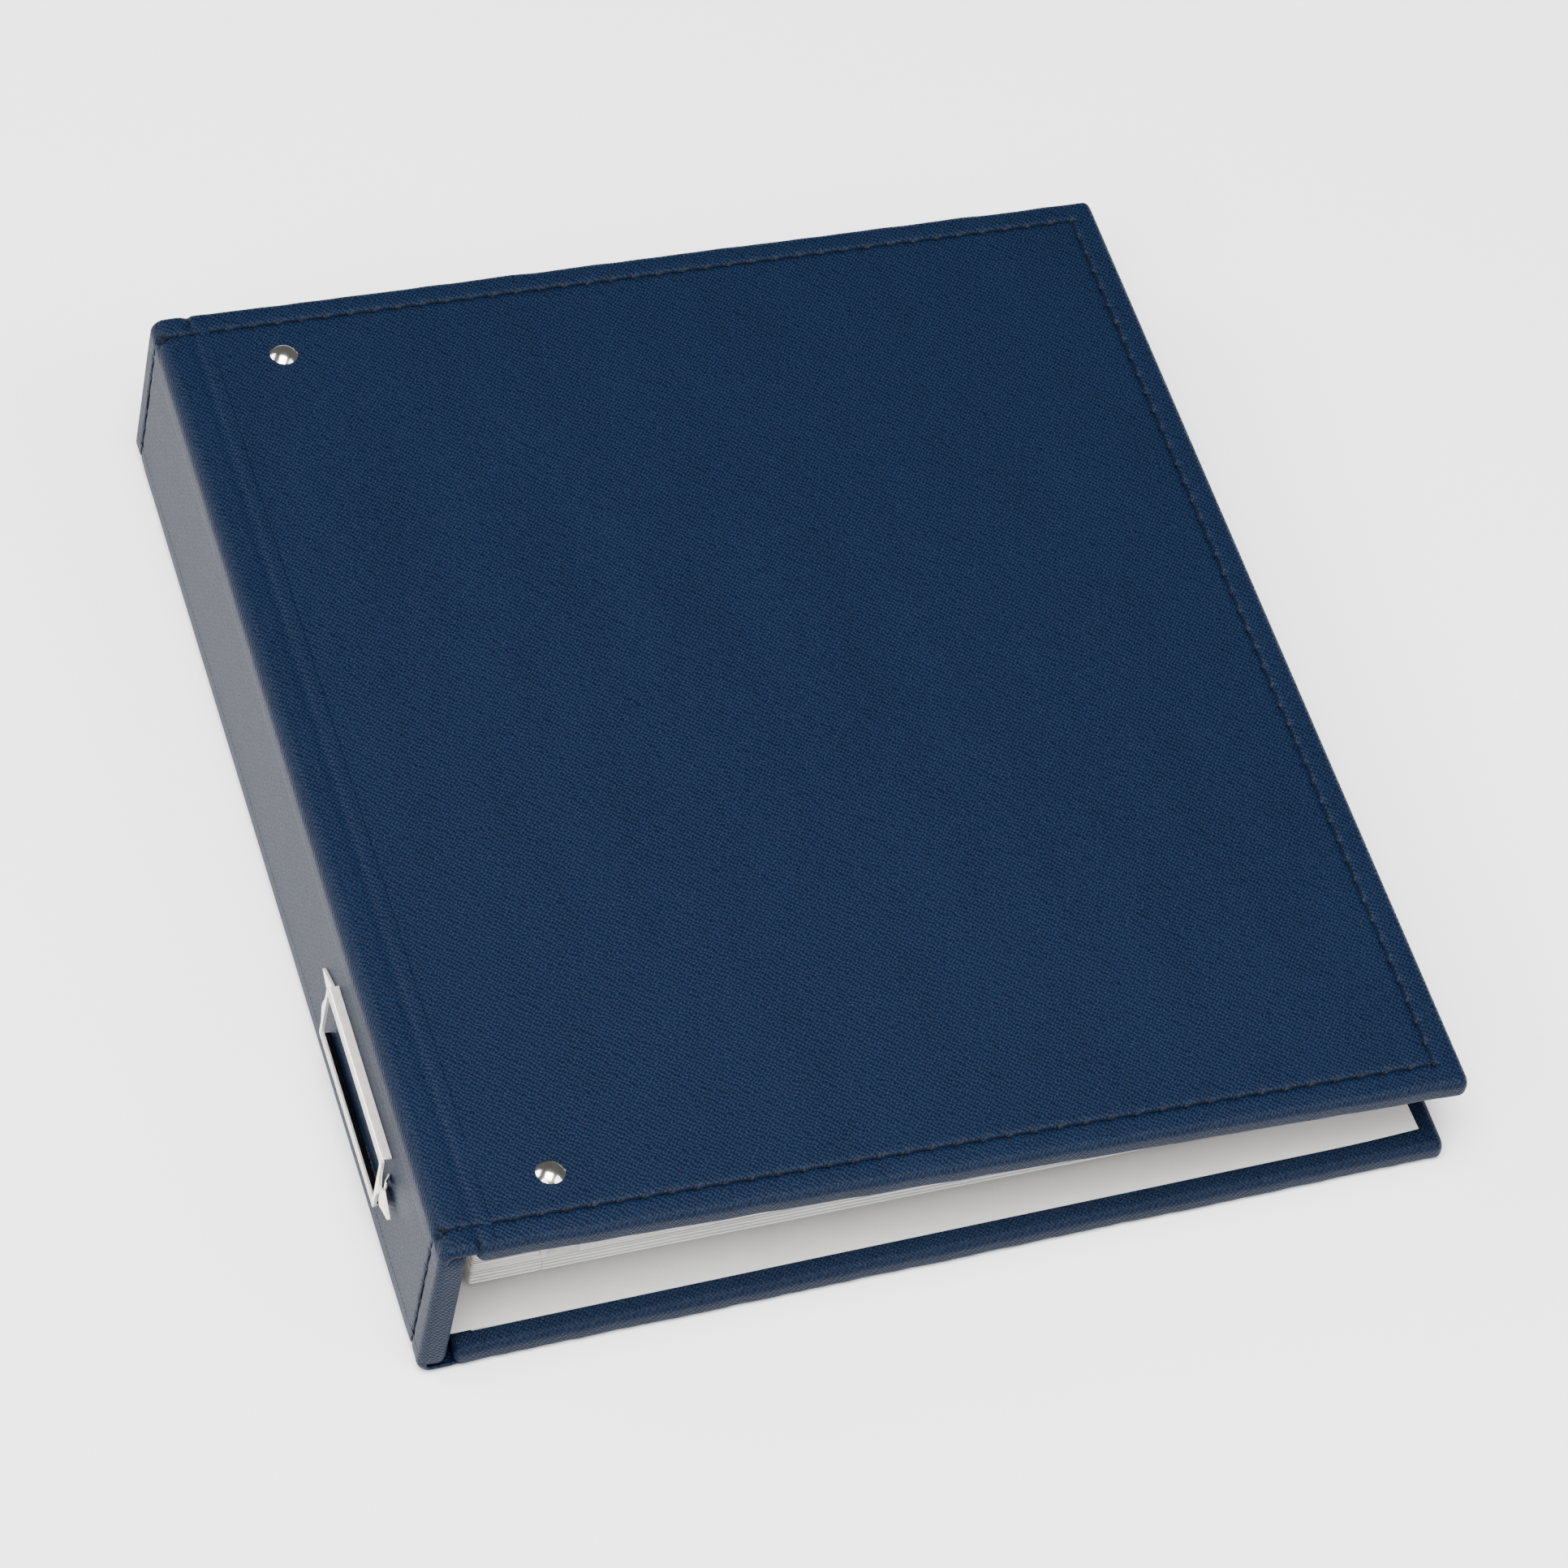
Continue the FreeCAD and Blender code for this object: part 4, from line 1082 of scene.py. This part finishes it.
def leatherette():
    """Navy cross-grain leatherette: short embossed diagonal strokes with a soft waxy sheen; its
    colour carries a painted highlight on the ridges, painted shade in the valleys and near-black
    painted shade in deep dents.
    """
    paint = Paint("navy_leatherette", (0.012, 0.034, 0.090), 0.46)
    place = paint.place(grain=True)
    along, across = math.radians(GRAIN_HEADING), math.radians(CROSS_HEADING)
    main = wave(paint, paint.mapped(place, turn=along), GRAIN_PITCH, 5.0)
    cross = wave(paint, paint.mapped(place, turn=across), CROSS_PITCH, 6.0)
    streaks = paint.noise(paint.mapped(place, scale=(1.0, 0.16, 1.0), turn=along), 1500.0, 2.0)
    broad = paint.noise(paint.mapped(place, scale=(1.0, 0.3, 1.0), turn=along), 60.0, 3.0)
    strokes = paint.summed((paint.maths("MULTIPLY", main, streaks), 1.0), (cross, 0.42))
    height = paint.summed((strokes, 1.0), (paint.noise(place, 3800.0, 2.0), 0.35))
    # Colour follows the relief: a painted highlight on the ridges and painted shade in the valleys,
    # with a little random broad tone.
    ridge_light_and_tone = paint.summed((height, 0.85), (broad, 0.15))
    # Painted shade: deep dents, needle holes and sewn grooves are mixed towards near-black.
    pit_shade = paint.node("ShaderNodeAttribute", attribute_name="pit_shade").outputs["Fac"]
    mixed = paint.node("ShaderNodeMix", data_type="RGBA")
    paint.tree.links.new(pit_shade, mixed.inputs[0])
    paint.tree.links.new(paint.ramp(ridge_light_and_tone, *NAVY_TONE_AND_RIDGE_LIGHT), mixed.inputs[6])
    mixed.inputs[7].default_value = NEEDLE_HOLE_SHADE
    paint.feed("Base Color", mixed.outputs[2])
    paint.feed("Roughness", paint.spread(height, 0.40, 0.50))
    paint.fixed(Specular_IOR_Level=0.09)
    paint.bumped(height, 0.9, 0.00022)
    return paint.material


def thread_material():
    """Twisted polyester thread, slightly darker than the case."""
    paint = Paint("navy_thread", (0.008, 0.016, 0.052), 0.75)
    place = paint.place()
    twist = wave(paint, paint.mapped(place, turn=math.radians(30)), 0.0005, 1.0)
    paint.feed("Base Color", paint.ramp(twist, *THREAD_SHADES))
    paint.fixed(Specular_IOR_Level=0.1)
    paint.bumped(twist, 0.6, 0.00008)
    return paint.material


def paper(name, colour, warm):
    """Uncoated card: slight mottling, fine fibres."""
    paint = Paint(name, colour, 0.7)
    place = paint.place()
    mottle = paint.noise(place, 55.0, 4.0, 0.6)
    fibres = paint.noise(paint.mapped(place, scale=(1.0, 0.25, 1.0), turn=0.6), 900.0, 3.0)
    mixed = paint.summed((mottle, 0.7), (fibres, 0.3))
    low = tuple(c * 0.93 * w for c, w in zip(colour, warm))
    paint.feed("Base Color", paint.ramp(mixed, (0.3, low), (0.7, colour)))
    paint.feed("Roughness", paint.spread(mottle, 0.58, 0.76))
    paint.bumped(fibres, 0.25, 0.00005)
    return paint.material


def page_material():
    """Edges and faces of bright page stock, with a faint tint that changes from sheet to sheet."""
    paint = Paint("page_stock", (0.74, 0.72, 0.69), 0.55)
    place = paint.place()
    layers = paint.noise(paint.mapped(place, scale=(2.0, 2.0, 1400.0)), 1.0, 2.0)
    broad = paint.noise(place, 25.0, 3.0)
    mixed = paint.summed((layers, 0.65), (broad, 0.35))
    paint.feed("Base Color", paint.ramp(mixed, (0.3, (0.50, 0.49, 0.475)),
                                        (0.7, (0.64, 0.63, 0.615))))
    paint.bumped(layers, 0.3, 0.00008)
    return paint.material


def sleeve_material():
    """Semi-clear polypropylene sleeves over white inserts."""
    paint = Paint("page_sleeve", (0.80, 0.80, 0.79), 0.22)
    place = paint.place()
    ripples = paint.noise(paint.mapped(place, scale=(0.4, 1.0, 1.0)), 70.0, 2.0)
    paint.feed("Base Color", paint.ramp(ripples, (0.3, (0.58, 0.583, 0.59)),
                                        (0.7, (0.66, 0.66, 0.655))))
    paint.feed("Roughness", paint.spread(ripples, 0.16, 0.3))
    paint.fixed(Specular_IOR_Level=0.6, Coat_Weight=0.4, Coat_Roughness=0.12)
    paint.bumped(ripples, 0.25, 0.0004)
    return paint.material


def metal(name, colour, roughness, metallic=1.0, brushed=False, wear=0.05):
    """Plated metal: faint handling marks; brushed metal has lengthwise lines."""
    paint = Paint(name, colour, roughness, metallic)
    place = paint.place()
    marks = paint.noise(place, 420.0, 4.0, 0.6)
    if brushed:
        lines = paint.noise(paint.mapped(place, scale=(3200.0, 14.0, 3200.0)), 1.0, 3.0)
        marks = paint.summed((marks, 0.4), (lines, 0.6))
    dull = tuple(c * 0.86 for c in colour)
    paint.feed("Base Color", paint.ramp(marks, (0.35, dull), (0.65, colour)))
    paint.feed("Roughness", paint.spread(marks, roughness - wear, roughness + wear))
    paint.bumped(marks, 0.12 if brushed else 0.05, 0.00005)
    return paint.material


def board_material():
    paint = Paint("greyboard", (0.32, 0.30, 0.27), 0.85)
    place = paint.place()
    fibres = paint.noise(paint.mapped(place, scale=(1.0, 0.4, 1.0)), 700.0, 4.0, 0.7)
    paint.feed("Base Color", paint.ramp(fibres, (0.3, (0.24, 0.22, 0.20)),
                                        (0.7, (0.38, 0.36, 0.33))))
    paint.bumped(fibres, 0.5, 0.0001)
    return paint.material


LEATHERETTE = leatherette()
THREAD = thread_material()
ENDPAPER = paper("endpaper", (0.50, 0.495, 0.487), (1.0, 0.99, 0.97))
PAGES = page_material()
SLEEVE = sleeve_material()
NICKEL = metal("nickel_plate", (0.86, 0.83, 0.76), 0.24, metallic=0.6)
RING_STEEL = metal("ring_steel", (0.74, 0.73, 0.71), 0.16)
RAIL_STEEL = metal("rail_steel", (0.58, 0.58, 0.57), 0.30, brushed=True)
# Near-black nickel: painted reflection of the dark leather and painted shade for the holder's inner
# faces.
NICKEL_PAINTED_SHADE = metal("nickel_painted_shade", (0.05, 0.052, 0.06), 0.22)
HOUSING_STEEL = metal("housing_steel", (0.66, 0.655, 0.645), 0.42, metallic=0.3)
RIVET_NICKEL = metal("rivet_nickel", (0.70, 0.675, 0.63), 0.16, wear=0.03)
BOARD = board_material()


def dress(obj, material):
    obj.data.materials.clear()
    obj.data.materials.append(material)
    return obj


# ---- building the pieces
def build_case():
    back = dress(cover_wrap(UPPER, "back_cover_wrap", 21), LEATHERETTE)
    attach(back, "back_cover")
    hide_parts("back_cover_skin", "back_cover_padding")
    front = dress(cover_wrap(LOWER, "front_cover_wrap", 22), LEATHERETTE)
    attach(front, "front_cover")
    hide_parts("front_cover_skin", "front_cover_padding")
    spine = dress(spine_wrap(), LEATHERETTE)
    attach(spine, "spine")
    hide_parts("spine_skin", "spine_padding")
    for cloth, label, bodies, seed in ((UPPER, "back", ("spine", "back_cover"), 31),
                                       (LOWER, "front", ("spine", "front_cover"), 32)):
        strip = dress(hinge_cloth(cloth, label + "_hinge_cloth", seed), LEATHERETTE)
        stitching = dress(thread(cloth, label + "_thread"), THREAD)
        start, end = cloth.hinge_span()
        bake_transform(strip)
        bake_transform(stitching)
        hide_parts(label + "_cover_stitching")
        if label == "front":
            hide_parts("spine_stitching")


def build_label():
    holder, measure = label_holder()
    dress(holder, NICKEL)
    paint_inside_shade(holder, measure, NICKEL_PAINTED_SHADE)
    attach(holder, "spine")
    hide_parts("label_holder")


def build_papers():
    paper_piece = dress(endpaper(), ENDPAPER)
    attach(paper_piece, "front_cover")
    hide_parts("front_cover_lining")
    for cloth, label in ((UPPER, "back"), (LOWER, "front")):
        liner, start, end = hinge_liner(cloth, label + "_hinge_liner")
        dress(liner, ENDPAPER)
        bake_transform(liner)
    strips = dress(binding_strips(), SLEEVE)
    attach(strips, "back_cover")
    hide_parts("leaf_strips")
    for index in LEAVES:
        leaf, (start, end) = leaf_sleeve(index)
        dress(leaf, SLEEVE)
        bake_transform(leaf)
        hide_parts("leaf_%d" % index)
    for index in range(1, PACKS + 1):
        pack = dress(page_pack(index), PAGES)
        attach(pack, "back_cover")
        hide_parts("page_pack_%d" % index)


CAD_FINISH = {
    "back_cover_board": BOARD, "front_cover_board": BOARD, "spine_board": BOARD,
    "back_cover_lining": ENDPAPER, "spine_lining": ENDPAPER,
    "ring_rivets": RIVET_NICKEL, "ring_housing": HOUSING_STEEL,
    "lever_pins": RAIL_STEEL, "near_lever": RING_STEEL, "far_lever": RING_STEEL,
    "spine_side_rail": RAIL_STEEL, "page_side_rail": RAIL_STEEL,
    "ring_legs": RING_STEEL, "ring_arches": RING_STEEL,
}


def finish_cad_nodes():
    for node, material in CAD_FINISH.items():
        dress(frame["nodes"][node], material)


# ---- stage, light and camera
def build_floor():
    half = FLOOR_HALF
    corners = [(-half, -half, 0), (half, -half, 0), (half, half, 0), (-half, half, 0)]
    floor = new_object("floor", corners, [(0, 1, 2, 3)])
    floor.location.z = CAD_BOUNDS[0][2] - FLOOR_GAP
    paint = Paint("pale_floor", (0.92, 0.92, 0.92), 0.9)
    paint.fixed(Specular_IOR_Level=0.1)
    dress(floor, paint.material)


def soft_light(name, place, size, power):
    light = bpy.data.lights.new(name, "AREA")
    light.shape = "RECTANGLE"
    light.size, light.size_y = size
    light.energy = power
    obj = bpy.data.objects.new(name, light)
    bpy.context.scene.collection.objects.link(obj)
    obj.location = place
    obj.rotation_euler = (-Vector(place)).to_track_quat("-Z", "Y").to_euler()


def build_light():
    world = bpy.data.worlds.new("studio")
    bpy.context.scene.world = world
    world.use_nodes = True
    background = world.node_tree.nodes["Background"]
    background.inputs["Color"].default_value = (1.0, 1.0, 1.0, 1.0)
    background.inputs["Strength"].default_value = WORLD_STRENGTH
    for light in LIGHTS:
        soft_light(*light)


def build_camera():
    heading, down = math.radians(CAMERA_HEADING), math.radians(CAMERA_DOWN)
    forward = Vector((math.sin(heading) * math.cos(down), math.cos(heading) * math.cos(down),
                      -math.sin(down)))
    data = bpy.data.cameras.new("camera")
    data.lens = CAMERA_LENS
    data.sensor_width = CAMERA_SENSOR
    camera = bpy.data.objects.new("camera", data)
    bpy.context.scene.collection.objects.link(camera)
    camera.location = Vector(CAMERA_TARGET) - forward * CAMERA_DISTANCE
    level = forward.to_track_quat("-Z", "Y").to_matrix()
    camera.rotation_euler = (level @ Matrix.Rotation(math.radians(CAMERA_ROLL), 3, "Z")).to_euler()
    bpy.context.scene.camera = camera


build_camera()
build_light()
build_floor()
build_case()
build_label()
build_papers()
finish_cad_nodes()
